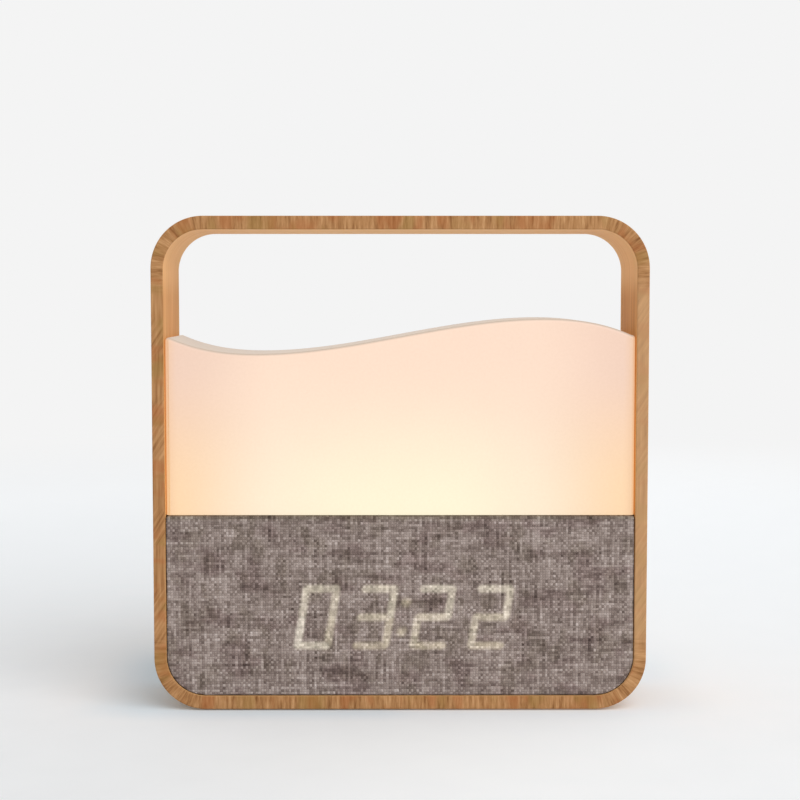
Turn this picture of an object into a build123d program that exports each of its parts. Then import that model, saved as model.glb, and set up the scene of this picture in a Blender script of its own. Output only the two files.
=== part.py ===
from build123d import *
import math
import os

os.makedirs("parts", exist_ok=True)

# A bedside clock and night light: a wooden hoop that stands on its lower rail and is its own handle,
# a moulded housing in its lower half with the display and two speakers behind a linen front, and a
# milk-white lamp shade with a wavy top on the housing's deck. Millimetres. X is right seen from the
# front, the front faces -Y, Z is up, and the origin is on the ground under the middle of the hoop.

# ---- Hoop -------------------------------------------------------------------------------------
frame_width = 200.0
frame_height = 200.0
frame_depth = 48.0
side_wall = 5.0
rail_wall = 5.5
corner_radius = 21.0
edge_round = 0.6

# ---- Feet and hoop fasteners ------------------------------------------------------------------
foot_proud = 0.5
foot_thickness = 1.5
foot_radius = 6.0
foot_gap = 0.1              # pad to its recess
foot_inset_x = 28.0         # from the hoop's side
foot_inset_y = 11.0         # from the hoop's face

# ---- Housing ----------------------------------------------------------------------------------
seam_height = 79.6          # top edge of the cloth
deck_rise = 0.3             # deck above the cloth's edge, the dark line under the shade
housing_wall = 2.0
housing_recess = 3.1        # behind the hoop's face
side_gap = 0.2              # housing to hoop
boss_radius = 3.5
boss_height = 8.0

# ---- Cloth front and the panel behind it ------------------------------------------------------
baffle_thickness = 2.0
cloth_thickness = 0.8
cloth_gap = 0.3             # cloth to hoop
cloth_round = 0.7
grille_hole_radius = 1.3
grille_pitch = 3.8
grille_margin = 0.5         # outer holes to the speaker's ring
baffle_screw_x = 38.0
baffle_boss_radius = 2.9
baffle_boss_height = 2.0
lug_half_width = 3.2
lug_thickness = 2.0

# ---- Lamp shade -------------------------------------------------------------------------------
shade_gap = 0.3             # shade to hoop
shade_recess = 1.7          # behind the hoop's face
shade_wall = 2.2
shade_round = 1.3
wave_height = 152.3         # height of the wave's middle
wave_amplitude = 7.1
wave_crest_inset = 36.7     # crest and trough to the shade's sides
wave_end_offset = 0.2
wave_end_slope = -0.48
lip_thickness = 1.5
lip_height = 3.0
lip_gap = 0.2
shade_boss_height = 10.0
shade_web = 4.0
access_radius = 3.4         # screwdriver holes in the housing's floor
access_margin = 2.6         # screwdriver hole to the main board's edge

# ---- Lamp -------------------------------------------------------------------------------------
board_thickness = 1.6
lamp_half_width = 60.0
lamp_half_depth = 10.0
lamp_columns = 9
lamp_column_pitch = 13.0
lamp_row_y = 5.0
lamp_led_size = (3.5, 2.8, 0.9)
lamp_screw_x = 44.0
lamp_screw_y = 6.0
lamp_boss_radius = 2.5
lamp_boss_height = 4.0
reflector_half_width = 85.0
reflector_half_depth = 11.8
reflector_thickness = 0.8

# ---- Display ----------------------------------------------------------------------------------
display_x = 1.0
digit_base_z = 25.4
digit_width = 14.3
digit_height = 25.9
digit_pitch = 23.5
digit_slant = 0.162         # sideways shift for each millimetre of height
stroke = 3.0
segment_gap = 0.4
colon_rise = 6.0
colon_radius = 1.5
window_side_margin = 1.3    # window's edge to the digits
window_top_margin = 1.85
window_gap = 0.3
nose_length = 1.5
film_thickness = 0.3
lightbox_rim = 4.0          # light box beyond the middle of its pillars
lightbox_depth = 8.0
pillar_inset = 0.8          # pillar's middle inside the window's end
pillar_rise = 1.7           # pillar above the window
pillar_height = 5.0
pillar_radius = 2.5
pillar_gap = 0.3
display_led_size = (1.6, 0.8, 0.8)

# ---- Speakers: radii, and depths counted back from the front of the basket --------------------
speaker_side_gap = 1.8      # speaker to the housing's side wall
speaker_z = 42.0
speaker_size = 40.0
speaker_corner = 4.0
speaker_screw_inset = 3.0   # screw to the flange's edge
standoff_height = 2.2
standoff_rim = 1.5          # least width of the square's ring round the speaker
gasket_thickness = 0.8
gasket_rim = 0.8
basket_rim = 2.8
basket_wall = 1.0
flange_thickness = 1.2
window_width = 12.0
window_depths = (1.8, 6.4)
shelf_width = 4.7
shelf_depths = (7.0, 7.6)
basket_floor_radius = 9.0
basket_floor_depths = (8.6, 9.6)
top_plate_thickness = 2.0
plate_radius = 11.0
magnet_radius = 11.5
magnet_bore = 8.0
magnet_height = 4.0
yoke_thickness = 2.0
pole_front = 9.4
coil_inner_radius = 6.0
coil_wall = 0.4
coil_gap = 0.35             # coil to pole, and coil to top plate
coil_depths = (4.8, 11.2)
surround_band = 4.4         # cone's edge to the surround's
cone_lip = 1.2
cone_thickness = 0.5
neck_depths = (5.4, 6.2)
spider_seat = 1.1           # spider's rim on its shelf
spider_thickness = 0.4
spider_ripple = 0.3
ripple_margin = 0.9         # last ripple to the shelf
surround_rim = 1.0
surround_thickness = 0.5
roll_radius = 1.5           # middle of the half-round roll's wall
cap_rise = 1.5
cap_rim_width = 0.8

# ---- Main board, buttons, inlet and cell ------------------------------------------------------
board_half_width = 58.0
board_margin = 1.0          # board to the housing's floor and deck
board_screw_x = 53.0
board_screw_inset = 4.5
button_z = 60.0
button_pitch = 20.0
button_radius = 4.5
button_gap = 0.3
button_proud = 1.2
button_round = 0.5
button_slack = 0.2          # button's flange to the cover
button_rim = 1.1
button_rim_height = 1.2
switch_size = 6.0
switch_height = 3.5
stem_radius = 1.7
stem_height = 1.5
stem_sunk = 0.3
stem_gap = 0.3
stem_well = 1.2
inlet_z = 19.0
inlet_width = 9.0
inlet_height = 3.3
inlet_wall = 0.35
inlet_gap = 0.3
inlet_recess = 0.2
inlet_base = 1.5
tongue_width = 6.7
tongue_height = 0.7
tongue_recess = 1.2
cell_radius = 9.2
cell_length = 65.0
cell_clearance = 2.0        # cell to the housing's floor
cell_gap = 0.3
rib_x = 22.0
rib_thickness = 3.0
rib_half_depth = 10.2

# ---- Wiring -----------------------------------------------------------------------------------
lead_radius = 0.8
lead_bend = 2.4
lamp_lead_place = (30.0, 5.0)
lamp_lead_drop = 10.0
lead_hole_radius = 2.0
speaker_lead_shift = (2.13, 1.61)   # lead to the flange's corner screw, across and down
ribbon_width = 12.0
ribbon_thickness = 0.4

# ---- Rear cover and screws --------------------------------------------------------------------
cover_thickness = 2.0
cover_gap = 0.2
cover_round = 0.5
corner_block = 8.4          # side of the square blocks that take the cover's upper screws
low_screw_inset = 8.2
block_length = 14.0
counterbore_depth = 1.0
vent_slots = 5
vent_pitch = 5.0
vent_width = 2.0
vent_height = 18.0
m3_radius = 1.5
m3_head_radius = 2.8
m3_head_height = 1.6
m2_radius = 1.0
m2_head_radius = 1.8
m2_head_height = 1.2
drive_width = 0.5
thread_gap = 0.05           # screw to its pilot hole
pass_gap = 0.2              # screw to a hole that it passes through
head_gap = 0.3              # screw head to its counterbore
overrun = 0.4               # how far a cut runs past a face

# ---- Worked out from the above ----------------------------------------------------------------
hoop_middle_z = foot_proud + frame_height / 2
half_opening = frame_width / 2 - side_wall
inner_radius = corner_radius - side_wall
floor_z = foot_proud + rail_wall
deck_z = seam_height + deck_rise
cavity_half_width = half_opening - side_gap - housing_wall
cavity_low_z = floor_z + housing_wall
cavity_high_z = deck_z - housing_wall
foot_x = frame_width / 2 - foot_inset_x
foot_y = frame_depth / 2 - foot_inset_y
foot_top_z = foot_thickness
frame_head_z = foot_top_z + pass_gap + m3_head_height

cover_back_y = frame_depth / 2 - housing_recess
cover_front_y = cover_back_y - cover_thickness
baffle_back_y = -cover_back_y
baffle_front_y = baffle_back_y - baffle_thickness
cloth_front_y = baffle_front_y - cloth_thickness
speaker_x = cavity_half_width - speaker_side_gap - speaker_size / 2
speaker_front_y = baffle_back_y + standoff_height + gasket_thickness
standoff_radius = speaker_size / 2 - standoff_rim
gasket_radius = speaker_size / 2 - gasket_rim
basket_radius = speaker_size / 2 - basket_rim
surround_radius = speaker_size / 2 - surround_rim
cone_radius = surround_radius - surround_band
shelf_radius = basket_radius - shelf_width
spider_radius = shelf_radius + spider_seat
speaker_screw_reach = speaker_size / 2 - speaker_screw_inset
grille_rings = int((standoff_radius - grille_hole_radius - grille_margin) / grille_pitch)

display_z = digit_base_z + digit_height / 2
digits_half_width = 1.5 * digit_pitch + (digit_width + digit_slant * digit_height) / 2
window_half_width = digits_half_width + window_side_margin
window_half_height = digit_height / 2 + window_top_margin
pillar_x = window_half_width - pillar_inset
pillar_z = window_half_height + pillar_rise + pillar_radius
lightbox_half_width = pillar_x + lightbox_rim
lightbox_half_height = pillar_z + lightbox_rim
lightbox_back_y = baffle_back_y + lightbox_depth
display_board_back_y = lightbox_back_y + board_thickness
lug_front_y = baffle_back_y + baffle_boss_height
lug_back_y = lug_front_y + lug_thickness

button_back_y = cover_front_y - button_slack - button_rim_height
board_back_y = button_back_y - stem_height - switch_height
board_front_y = board_back_y - board_thickness
board_low_z = cavity_low_z + board_margin
board_high_z = cavity_high_z - board_margin
cell_z = cavity_low_z + cell_clearance + cell_radius

shade_half_width = half_opening - shade_gap
shade_half_depth = frame_depth / 2 - shade_recess
wave_crest_x = shade_half_width - wave_crest_inset
shade_boss_x = board_half_width + access_radius + access_margin
shade_boss_y = cover_front_y - m3_head_radius - head_gap
lamp_top_z = deck_z + board_thickness

coil_outer_radius = coil_inner_radius + coil_wall
plate_front = basket_floor_depths[1]
magnet_front = plate_front + top_plate_thickness
yoke_front = magnet_front + magnet_height

speaker_sides = {"left": -speaker_x, "right": speaker_x}
button_names = ("set", "minus", "plus", "alarm", "lamp")
button_xs = {name: (i - 2) * button_pitch for i, name in enumerate(button_names)}


# ---- Drawing helpers --------------------------------------------------------------------------
def block(x, y, z):
    """A box between (low, high) pairs."""
    middle = [(low + high) / 2 for low, high in (x, y, z)]
    sides = [high - low for low, high in (x, y, z)]
    return Pos(*middle) * Box(*sides)


def about(middle, half):
    """The (low, high) pair `half` each side of `middle`."""
    return middle - half, middle + half


def rod_x(y, z, radius, x):
    """A cylinder along X."""
    return Pos(sum(x) / 2, y, z) * Rot(0, 90, 0) * Cylinder(radius, x[1] - x[0])


def rod_y(x, z, radius, y):
    """A cylinder along Y."""
    return Pos(x, sum(y) / 2, z) * Rot(90, 0, 0) * Cylinder(radius, y[1] - y[0])


def rod_z(x, y, radius, z):
    """A cylinder along Z."""
    return Pos(x, y, sum(z) / 2) * Cylinder(radius, z[1] - z[0])


def along_y(drawing, y):
    """A drawing in X-Z, pushed through from y[0] to y[1]."""
    return extrude(Plane.XZ.offset(-y[1]) * drawing, amount=y[1] - y[0])


def polygon(points):
    """A filled outline with straight sides."""
    return make_face(Polyline(*points, close=True))


def lower_outline(gap, low, high):
    """The hoop's lower inside in X-Z: `gap` in from its sides, from `low` up to `high`."""
    half = half_opening - gap
    whole = Pos(0, high) * RectangleRounded(2 * half, 2 * (high - low), inner_radius - gap)
    return whole & Pos(0, (low + high) / 2) * Rectangle(2 * half, high - low)


def group(pieces):
    """Separate solids kept together in one node."""
    return Compound(children=[solid for piece in pieces for solid in piece.solids()])


def corners(x, y):
    """The four points at plus or minus x and y."""
    return [(i * x, j * y) for i in (-1, 1) for j in (-1, 1)]


def screw(radius, head_radius, head_height, length):
    """A cross-head screw: its head up on Z, the head's underside at the origin, its shank down."""
    shank = Pos(0, 0, -length / 2) * Cylinder(radius, length)
    head = Pos(0, 0, head_height / 2) * Cylinder(head_radius, head_height)
    head = fillet(head.faces().sort_by(Axis.Z)[-1].edges(), head_height / 3)
    across = 1.2 * head_radius
    for sides in ((across, drive_width), (drive_width, across)):
        head -= Pos(0, 0, head_height) * Box(*sides, head_height)
    return shank + head


def m3(length):
    return screw(m3_radius, m3_head_radius, m3_head_height, length)


def m2(length):
    return screw(m2_radius, m2_head_radius, m2_head_height, length)


def from_back(x, y, z):
    """The place of a screw that is driven forwards, with its head's underside at y."""
    return Pos(x, y, z) * Rot(-90, 0, 0)


def from_below(x, y, z):
    """The place of a screw that is driven upwards, with its head's underside at z."""
    return Pos(x, y, z) * Rot(180, 0, 0)


def lead(points, bend, section):
    """A wire or ribbon along straight runs joined by arcs."""
    path = FilletPolyline(*points, radius=bend)
    start = Plane(origin=path @ 0, x_dir=(1, 0, 0) if abs((path % 0).X) < 0.5 else (0, 1, 0), z_dir=path % 0)
    return sweep(start * section, path=path)


def band(radii, depths):
    """A rectangle in radius and depth, to be turned about the speaker's axis."""
    middle = Pos(sum(radii) / 2, sum(depths) / 2)
    return middle * Rectangle(radii[1] - radii[0], depths[1] - depths[0])


def turned(drawing):
    """A drawing in radius and depth, turned about the speaker's axis, which is Z here."""
    return revolve(Plane.XZ * drawing, axis=Axis.Z)


# ---- Places shared by pieces that meet --------------------------------------------------------
foot_places = corners(foot_x, foot_y)
shade_screw_places = [(side * shade_boss_x, shade_boss_y) for side in (-1, 1)]
lamp_screw_places = corners(lamp_screw_x, lamp_screw_y)
lamp_led_places = [
    ((i - (lamp_columns - 1) / 2) * lamp_column_pitch, row * lamp_row_y)
    for i in range(lamp_columns)
    for row in (-1, 1)
]
upper_screws = [
    (side * (cavity_half_width - corner_block / 2), cavity_high_z - corner_block / 2)
    for side in (-1, 1)
]
lower_screws = [
    (side * (cavity_half_width - low_screw_inset), cavity_low_z + low_screw_inset) for side in (-1, 1)
]
baffle_screw_places = [
    (side * baffle_screw_x, z)
    for side in (-1, 1)
    for z in (cavity_low_z + lug_half_width, cavity_high_z - lug_half_width)
]
board_screw_places = [
    (side * board_screw_x, z)
    for side in (-1, 1)
    for z in (board_low_z + board_screw_inset, board_high_z - board_screw_inset)
]
pillar_places = [(display_x + x, display_z + z) for x, z in corners(pillar_x, pillar_z)]
speaker_screw_places = corners(speaker_screw_reach, speaker_screw_reach)


# ---- Hoop and feet ----------------------------------------------------------------------------
def make_wood_frame():
    outer = RectangleRounded(frame_width, frame_height, corner_radius)
    opening = RectangleRounded(2 * half_opening, frame_height - 2 * rail_wall, inner_radius)
    hoop = along_y(Pos(0, hoop_middle_z) * (outer - opening), about(0, frame_depth / 2))
    hoop = fillet(hoop.faces().filter_by(Axis.Y).edges(), edge_round)
    for x, y in foot_places:
        hoop -= rod_z(x, y, foot_radius + foot_gap, (0, foot_top_z))
        hoop -= rod_z(x, y, m3_head_radius + head_gap, (0, frame_head_z))
        hoop -= rod_z(x, y, m3_radius + pass_gap, (0, floor_z + overrun))
    return hoop


def make_rubber_feet():
    return group(rod_z(x, y, foot_radius, (0, foot_thickness)) for x, y in foot_places)


# ---- Housing ----------------------------------------------------------------------------------
def make_deck_lip():
    """Low bars on the deck that hold the shade's walls from inside."""
    outer_x = shade_half_width - shade_wall - lip_gap
    outer_y = shade_half_depth - shade_wall - lip_gap
    z = (deck_z, deck_z + lip_height)
    front_x = about(0, outer_x - 3 * boss_radius)
    back_x = about(0, shade_boss_x - 2 * boss_radius)
    side_y = about(0, shade_boss_y - 2 * boss_radius + shade_web)
    bars = [
        block(front_x, (-outer_y, -outer_y + lip_thickness), z),
        block(back_x, (outer_y - lip_thickness, outer_y), z),
    ]
    for side in (-1, 1):
        x = sorted((side * outer_x, side * (outer_x - lip_thickness)))
        bars.append(block(x, side_y, z))
    return bars


def make_chassis():
    length = about(0, cover_back_y)
    solid = along_y(lower_outline(side_gap, floor_z, deck_z), length)
    cavity = lower_outline(side_gap + housing_wall, cavity_low_z, cavity_high_z)
    shell = solid - along_y(cavity, about(0, cover_back_y + overrun))

    inside = []
    screw_back = (cover_front_y - block_length, cover_front_y)
    for x, z in upper_screws + lower_screws:
        side = math.copysign(1, x)
        rise = 1 if z > display_z else -1
        reach = corner_block / 2 + housing_wall
        x_pair = sorted((x - side * corner_block / 2, x + side * reach))
        z_pair = sorted((z - rise * corner_block / 2, z + rise * reach))
        inside.append(block(x_pair, screw_back, z_pair) & solid)
    for x, z in baffle_screw_places:
        wall_z = cavity_low_z - housing_wall / 2 if z < display_z else cavity_high_z + housing_wall / 2
        far_z = z + lug_half_width if z < display_z else z - lug_half_width
        inside.append(block(about(x, lug_half_width), (lug_front_y, lug_back_y), sorted((wall_z, far_z))))
    for x, z in board_screw_places:
        wall_z = cavity_low_z - housing_wall / 2 if z < display_z else cavity_high_z + housing_wall / 2
        far_z = z + boss_radius if z < display_z else z - boss_radius
        y = (board_front_y - boss_height, board_front_y)
        inside.append(block(about(x, boss_radius), y, sorted((wall_z, far_z))))
    for x, y in foot_places:
        inside.append(rod_z(x, y, boss_radius, (floor_z, cavity_low_z + boss_height)))
    for x, y in lamp_screw_places:
        inside.append(rod_z(x, y, lamp_boss_radius, (cavity_high_z - lamp_boss_height, deck_z)))
    cell_space = rod_x(0, cell_z, cell_radius + cell_gap, about(0, cell_length))
    for side in (-1, 1):
        rib = block(about(side * rib_x, rib_thickness / 2), about(0, rib_half_depth), (floor_z, cell_z))
        inside.append(rib - cell_space)
    body = shell.fuse(*inside, *make_deck_lip())

    pilots = [
        rod_y(x, z, m3_radius + thread_gap, (cover_front_y - block_length + 2, cover_back_y))
        for x, z in upper_screws + lower_screws
    ]
    pilots += [
        rod_y(x, z, m2_radius + pass_gap, (lug_front_y - overrun, lug_back_y + overrun))
        for x, z in baffle_screw_places
    ]
    pilots += [
        rod_y(x, z, m2_radius + thread_gap, (board_front_y - boss_height + 1, board_front_y + overrun))
        for x, z in board_screw_places
    ]
    pilots += [
        rod_z(x, y, m3_radius + thread_gap, (floor_z - overrun, cavity_low_z + boss_height - 1))
        for x, y in foot_places
    ]
    pilots += [
        rod_z(x, y, m2_radius + thread_gap, (cavity_high_z - lamp_boss_height + 0.5, deck_z + overrun))
        for x, y in lamp_screw_places
    ]
    for x, y in shade_screw_places:
        pilots.append(rod_z(x, y, m3_radius + pass_gap, (cavity_high_z - overrun, deck_z + overrun)))
        pilots.append(rod_z(x, y, access_radius, (floor_z - overrun, cavity_low_z + overrun)))
    pilots.append(rod_z(*lamp_lead_place, lead_hole_radius, (cavity_high_z - overrun, deck_z + overrun)))
    return body.cut(*pilots)


# ---- Front ------------------------------------------------------------------------------------
def grille_holes(x):
    """Rings of small holes in front of a speaker."""
    places = [(x, speaker_z)]
    for ring in range(1, grille_rings + 1):
        for i in range(6 * ring):
            angle = 2 * math.pi * i / (6 * ring)
            reach = ring * grille_pitch
            places.append((x + reach * math.cos(angle), speaker_z + reach * math.sin(angle)))
    return Sketch() + [Pos(*place) * Circle(grille_hole_radius) for place in places]


def make_front_baffle():
    inset = cloth_gap + cloth_thickness
    drawing = lower_outline(inset, floor_z + inset, seam_height - cloth_thickness)
    drawing -= Pos(display_x, display_z) * Rectangle(2 * window_half_width, 2 * window_half_height)
    for x in speaker_sides.values():
        drawing -= grille_holes(x)
    panel = along_y(drawing, (baffle_front_y, baffle_back_y))

    root_y = baffle_back_y - baffle_thickness / 2
    for x in speaker_sides.values():
        ring = RectangleRounded(speaker_size, speaker_size, speaker_corner) - Circle(standoff_radius)
        panel += along_y(Pos(x, speaker_z) * ring, (baffle_back_y, baffle_back_y + standoff_height))
    for x, z in baffle_screw_places:
        panel += rod_y(x, z, baffle_boss_radius, (root_y, baffle_back_y + baffle_boss_height))
    for x, z in pillar_places:
        panel += rod_y(x, z, pillar_radius, (root_y, baffle_back_y + pillar_height))

    front_stop = baffle_back_y - baffle_thickness / 2
    pilot = m2_radius + thread_gap
    tall = baffle_back_y + pillar_height + overrun
    screws = baffle_screw_places + pillar_places
    for x in speaker_sides.values():
        screws = screws + [(x + dx, speaker_z + dz) for dx, dz in speaker_screw_places]
    return panel.cut(*[rod_y(x, z, pilot, (front_stop, tall)) for x, z in screws])


def make_front_fabric():
    low = floor_z + cloth_gap
    back_y = baffle_back_y
    outer = along_y(lower_outline(cloth_gap, low, seam_height), (cloth_front_y, back_y))
    outer = fillet(outer.faces().sort_by(Axis.Y)[0].edges(), cloth_round)
    inset = cloth_gap + cloth_thickness
    panel = lower_outline(inset, floor_z + inset, seam_height - cloth_thickness)
    return outer - along_y(panel, (baffle_front_y, back_y + overrun))


# ---- Rear cover -------------------------------------------------------------------------------
def make_rear_cover():
    inset = housing_wall + cover_gap
    drawing = lower_outline(side_gap + inset, floor_z + inset, deck_z - inset)
    for x in button_xs.values():
        drawing -= Pos(x, button_z) * Circle(button_radius + button_gap)
    slot_radius = inlet_height / 2 + inlet_gap
    inlet = RectangleRounded(inlet_width + 2 * inlet_gap, 2 * slot_radius, slot_radius - 0.01)
    drawing -= Pos(0, inlet_z) * inlet
    for x in speaker_sides.values():
        for i in range(vent_slots):
            shift = (i - (vent_slots - 1) / 2) * vent_pitch
            drawing -= Pos(x + shift, speaker_z) * SlotOverall(vent_height, vent_width, rotation=90)
    for x, z in upper_screws + lower_screws:
        drawing -= Pos(x, z) * Circle(m3_radius + pass_gap)
    cover = along_y(drawing, (cover_front_y, cover_back_y))
    cover = fillet(cover.faces().sort_by(Axis.Y)[-1].outer_wire().edges(), cover_round)
    bores = [
        rod_y(x, z, m3_head_radius + head_gap, (cover_back_y - counterbore_depth, cover_back_y + overrun))
        for x, z in upper_screws + lower_screws
    ]
    return cover.cut(*bores)


# ---- Lamp -------------------------------------------------------------------------------------
def shade_outline():
    """The shade's front in X-Z: straight sides and bottom, and the wave on top."""
    end = wave_end_offset
    top = Spline(
        (-shade_half_width, wave_height + end),
        (-wave_crest_x, wave_height - wave_amplitude),
        (0, wave_height),
        (wave_crest_x, wave_height + wave_amplitude),
        (shade_half_width, wave_height - end),
        tangents=((1, wave_end_slope), (1, wave_end_slope)),
    )
    rest = Polyline(top @ 0, (-shade_half_width, deck_z), (shade_half_width, deck_z), top @ 1)
    return make_face([*top.edges(), *rest.edges()])


def make_lamp_shade():
    drawing = shade_outline()
    shade = along_y(drawing, about(0, shade_half_depth))
    rims = shade.faces().filter_by(Axis.Y).edges()
    shade = fillet([edge for edge in rims if edge.center().Z > deck_z + shade_round], shade_round)
    tall = 2 * frame_height
    room = Pos(0, -shade_wall) * drawing & Rectangle(2 * (shade_half_width - shade_wall), tall)
    inner_half = shade_half_depth - shade_wall
    shade -= along_y(room, about(0, inner_half))
    inner_x = about(0, shade_half_width - shade_wall)
    shade -= block(inner_x, about(0, inner_half), (floor_z, deck_z + shade_wall))
    z = (deck_z, deck_z + shade_boss_height)
    for x, y in shade_screw_places:
        post = rod_z(x, y, boss_radius, z)
        web = block(about(x, shade_web / 2), (y, inner_half + shade_wall / 2), z)
        shade += post + web
        shade -= rod_z(x, y, m3_radius + thread_gap, (floor_z, deck_z + shade_boss_height - 1))
    return shade


def make_lamp_board():
    board = block(about(0, lamp_half_width), about(0, lamp_half_depth), (deck_z, lamp_top_z))
    holes = [rod_z(x, y, m2_radius + pass_gap, (floor_z, lamp_top_z + overrun)) for x, y in lamp_screw_places]
    return board.cut(*holes)


def make_lamp_leds():
    lift = Pos(0, 0, lamp_top_z + lamp_led_size[2] / 2)
    return group(lift * Pos(x, y, 0) * Box(*lamp_led_size) for x, y in lamp_led_places)


def make_lamp_reflector():
    top = lamp_top_z + reflector_thickness
    tray = block(about(0, reflector_half_width), about(0, reflector_half_depth), (deck_z, top))
    inner_x = reflector_half_width - reflector_thickness
    inner_y = reflector_half_depth - reflector_thickness
    tray -= block(about(0, inner_x), about(0, inner_y), (floor_z, lamp_top_z))
    gap = pass_gap + head_gap
    cuts = [
        block(about(x, lamp_led_size[0] / 2 + gap), about(y, lamp_led_size[1] / 2 + gap), (deck_z, top + 1))
        for x, y in lamp_led_places
    ]
    cuts += [rod_z(x, y, m2_head_radius + gap, (deck_z, top + 1)) for x, y in lamp_screw_places]
    return tray.cut(*cuts)


# ---- Display ----------------------------------------------------------------------------------
def segment_bars():
    """The seven bars of an upright digit, as pairs of end points about its middle."""
    x = (digit_width - stroke) / 2
    z = (digit_height - stroke) / 2
    levels = (-z, 0, z)
    flat = [((-x, level), (x, level)) for level in levels]
    upright = [((side, low), (side, low + z)) for side in (-x, x) for low in (-z, 0)]
    return flat + upright


def segment_outline(start, end):
    """A pointed bar, one stroke wide, between two points."""
    length = math.dist(start, end)
    along = ((end[0] - start[0]) / length, (end[1] - start[1]) / length)
    half = stroke / 2
    tip, shoulder = segment_gap, segment_gap + half
    stations = [(tip, 0), (shoulder, half), (length - shoulder, half)]
    stations += [(length - tip, 0), (length - shoulder, -half), (shoulder, -half)]
    return [
        (start[0] + along[0] * s - along[1] * t, start[1] + along[1] * s + along[0] * t)
        for s, t in stations
    ]


def slanted(x, z, shift):
    """A point of the display: upright place (x, z) in the digit that stands `shift` along."""
    return display_x + shift + x + digit_slant * z, display_z + z


digit_shifts = [(i - 1.5) * digit_pitch for i in range(4)]
colon_places = [slanted(0, z, 0) for z in (-colon_rise, colon_rise)]


def make_digit_lightbox():
    x = about(display_x, lightbox_half_width)
    box = block(x, (baffle_back_y, lightbox_back_y), about(display_z, lightbox_half_height))
    nose_x = about(display_x, window_half_width - window_gap)
    nose_z = about(display_z, window_half_height - window_gap)
    box += block(nose_x, (baffle_back_y - nose_length, baffle_back_y), nose_z)
    through = (baffle_back_y - nose_length - overrun, lightbox_back_y + overrun)
    cuts = []
    for shift in digit_shifts:
        for start, end in segment_bars():
            outline = [slanted(*point, shift) for point in segment_outline(start, end)]
            cuts.append(along_y(polygon(outline), through))
    cuts += [rod_y(x, z, colon_radius, through) for x, z in colon_places]
    pocket = (baffle_back_y - overrun, baffle_back_y + pillar_height + pillar_gap)
    for x, z in pillar_places:
        cuts.append(rod_y(x, z, pillar_radius + pillar_gap, pocket))
        cuts.append(rod_y(x, z, m2_radius + pass_gap, through))
    return box.cut(*cuts)


def make_display_film():
    back = baffle_back_y - nose_length
    x = about(display_x, window_half_width - window_gap)
    return block(x, (back - film_thickness, back), about(display_z, window_half_height - window_gap))


def make_display_board():
    x = about(display_x, lightbox_half_width)
    y = (lightbox_back_y, display_board_back_y)
    board = block(x, y, about(display_z, lightbox_half_height))
    holes = [rod_y(x, z, m2_radius + pass_gap, (y[0] - 1, y[1] + 1)) for x, z in pillar_places]
    return board.cut(*holes)


def make_display_leds():
    width, height, tall = display_led_size
    places = list(colon_places)
    for shift in digit_shifts:
        for start, end in segment_bars():
            middle = ((start[0] + end[0]) / 2, (start[1] + end[1]) / 2)
            places.append(slanted(*middle, shift))
    y = lightbox_back_y - tall / 2
    return group(Pos(x, y, z) * Box(width, tall, height) for x, z in places)


# ---- Speakers ---------------------------------------------------------------------------------
def speaker_place(x):
    """Puts a piece drawn with its axis up on Z, front down, on the speaker's axis, front to -Y."""
    return Pos(x, speaker_front_y, speaker_z) * Rot(-90, 0, 0)


def make_basket():
    plate = RectangleRounded(speaker_size, speaker_size, speaker_corner) - Circle(basket_radius)
    for x, y in speaker_screw_places:
        plate -= Pos(x, y) * Circle(m2_radius + pass_gap)
    outer = basket_radius + basket_wall
    cup = band((basket_radius, outer), (0, basket_floor_depths[1]))
    cup += band((shelf_radius, outer), shelf_depths)
    cup += band((basket_floor_radius, outer), basket_floor_depths)
    basket = extrude(plate, amount=flange_thickness) + turned(cup)
    low, high = window_depths
    for sides in ((2 * outer + 1, window_width), (window_width, 2 * outer + 1)):
        basket -= Pos(0, 0, (low + high) / 2) * Box(*sides, high - low)
    return basket


def make_spider():
    half = spider_thickness / 2
    middle = shelf_depths[0] - half
    first = coil_outer_radius + cone_lip
    step = (shelf_radius - ripple_margin - first) / 4
    radii = [first + i * step for i in range(5)]
    line = [(coil_outer_radius, middle)]
    line += [(r, middle + (-1) ** i * spider_ripple * (i < 4)) for i, r in enumerate(radii)]
    line += [(spider_radius, middle)]
    front = [(r, a - half) for r, a in line]
    back = [(r, a + half) for r, a in reversed(line)]
    return turned(polygon(front + back))


def make_cone():
    lip = cone_radius - cone_lip
    points = [
        (cone_radius, 0),
        (cone_radius, cone_thickness),
        (lip, cone_thickness),
        (coil_outer_radius, neck_depths[1]),
        (coil_outer_radius, neck_depths[0]),
        (lip - cone_thickness / 2, 0),
    ]
    return turned(polygon(points))


def make_dust_cap():
    """A shallow dome whose rim stands on the front of the voice coil."""
    radius = coil_outer_radius
    rim_back = coil_depths[0]
    rim_front = rim_back - surround_thickness
    sphere = (radius**2 + cap_rise**2) / (2 * cap_rise)
    middle = sphere - math.sqrt(sphere**2 - (radius / 2) ** 2)
    front = rim_front - cap_rise
    back = front + surround_thickness
    outer = ThreePointArc((0, front), (radius / 2, front + middle), (radius, front + cap_rise))
    inner = ThreePointArc((0, back), (radius / 2, back + middle), (radius, back + cap_rise))
    ends = [Line(outer @ 0, inner @ 0), Line(outer @ 1, inner @ 1)]
    dome = make_face([*outer.edges(), *inner.edges(), *ends[0].edges(), *ends[1].edges()])
    return turned(dome + band((radius - cap_rim_width, radius), (rim_front, rim_back)))


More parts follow.
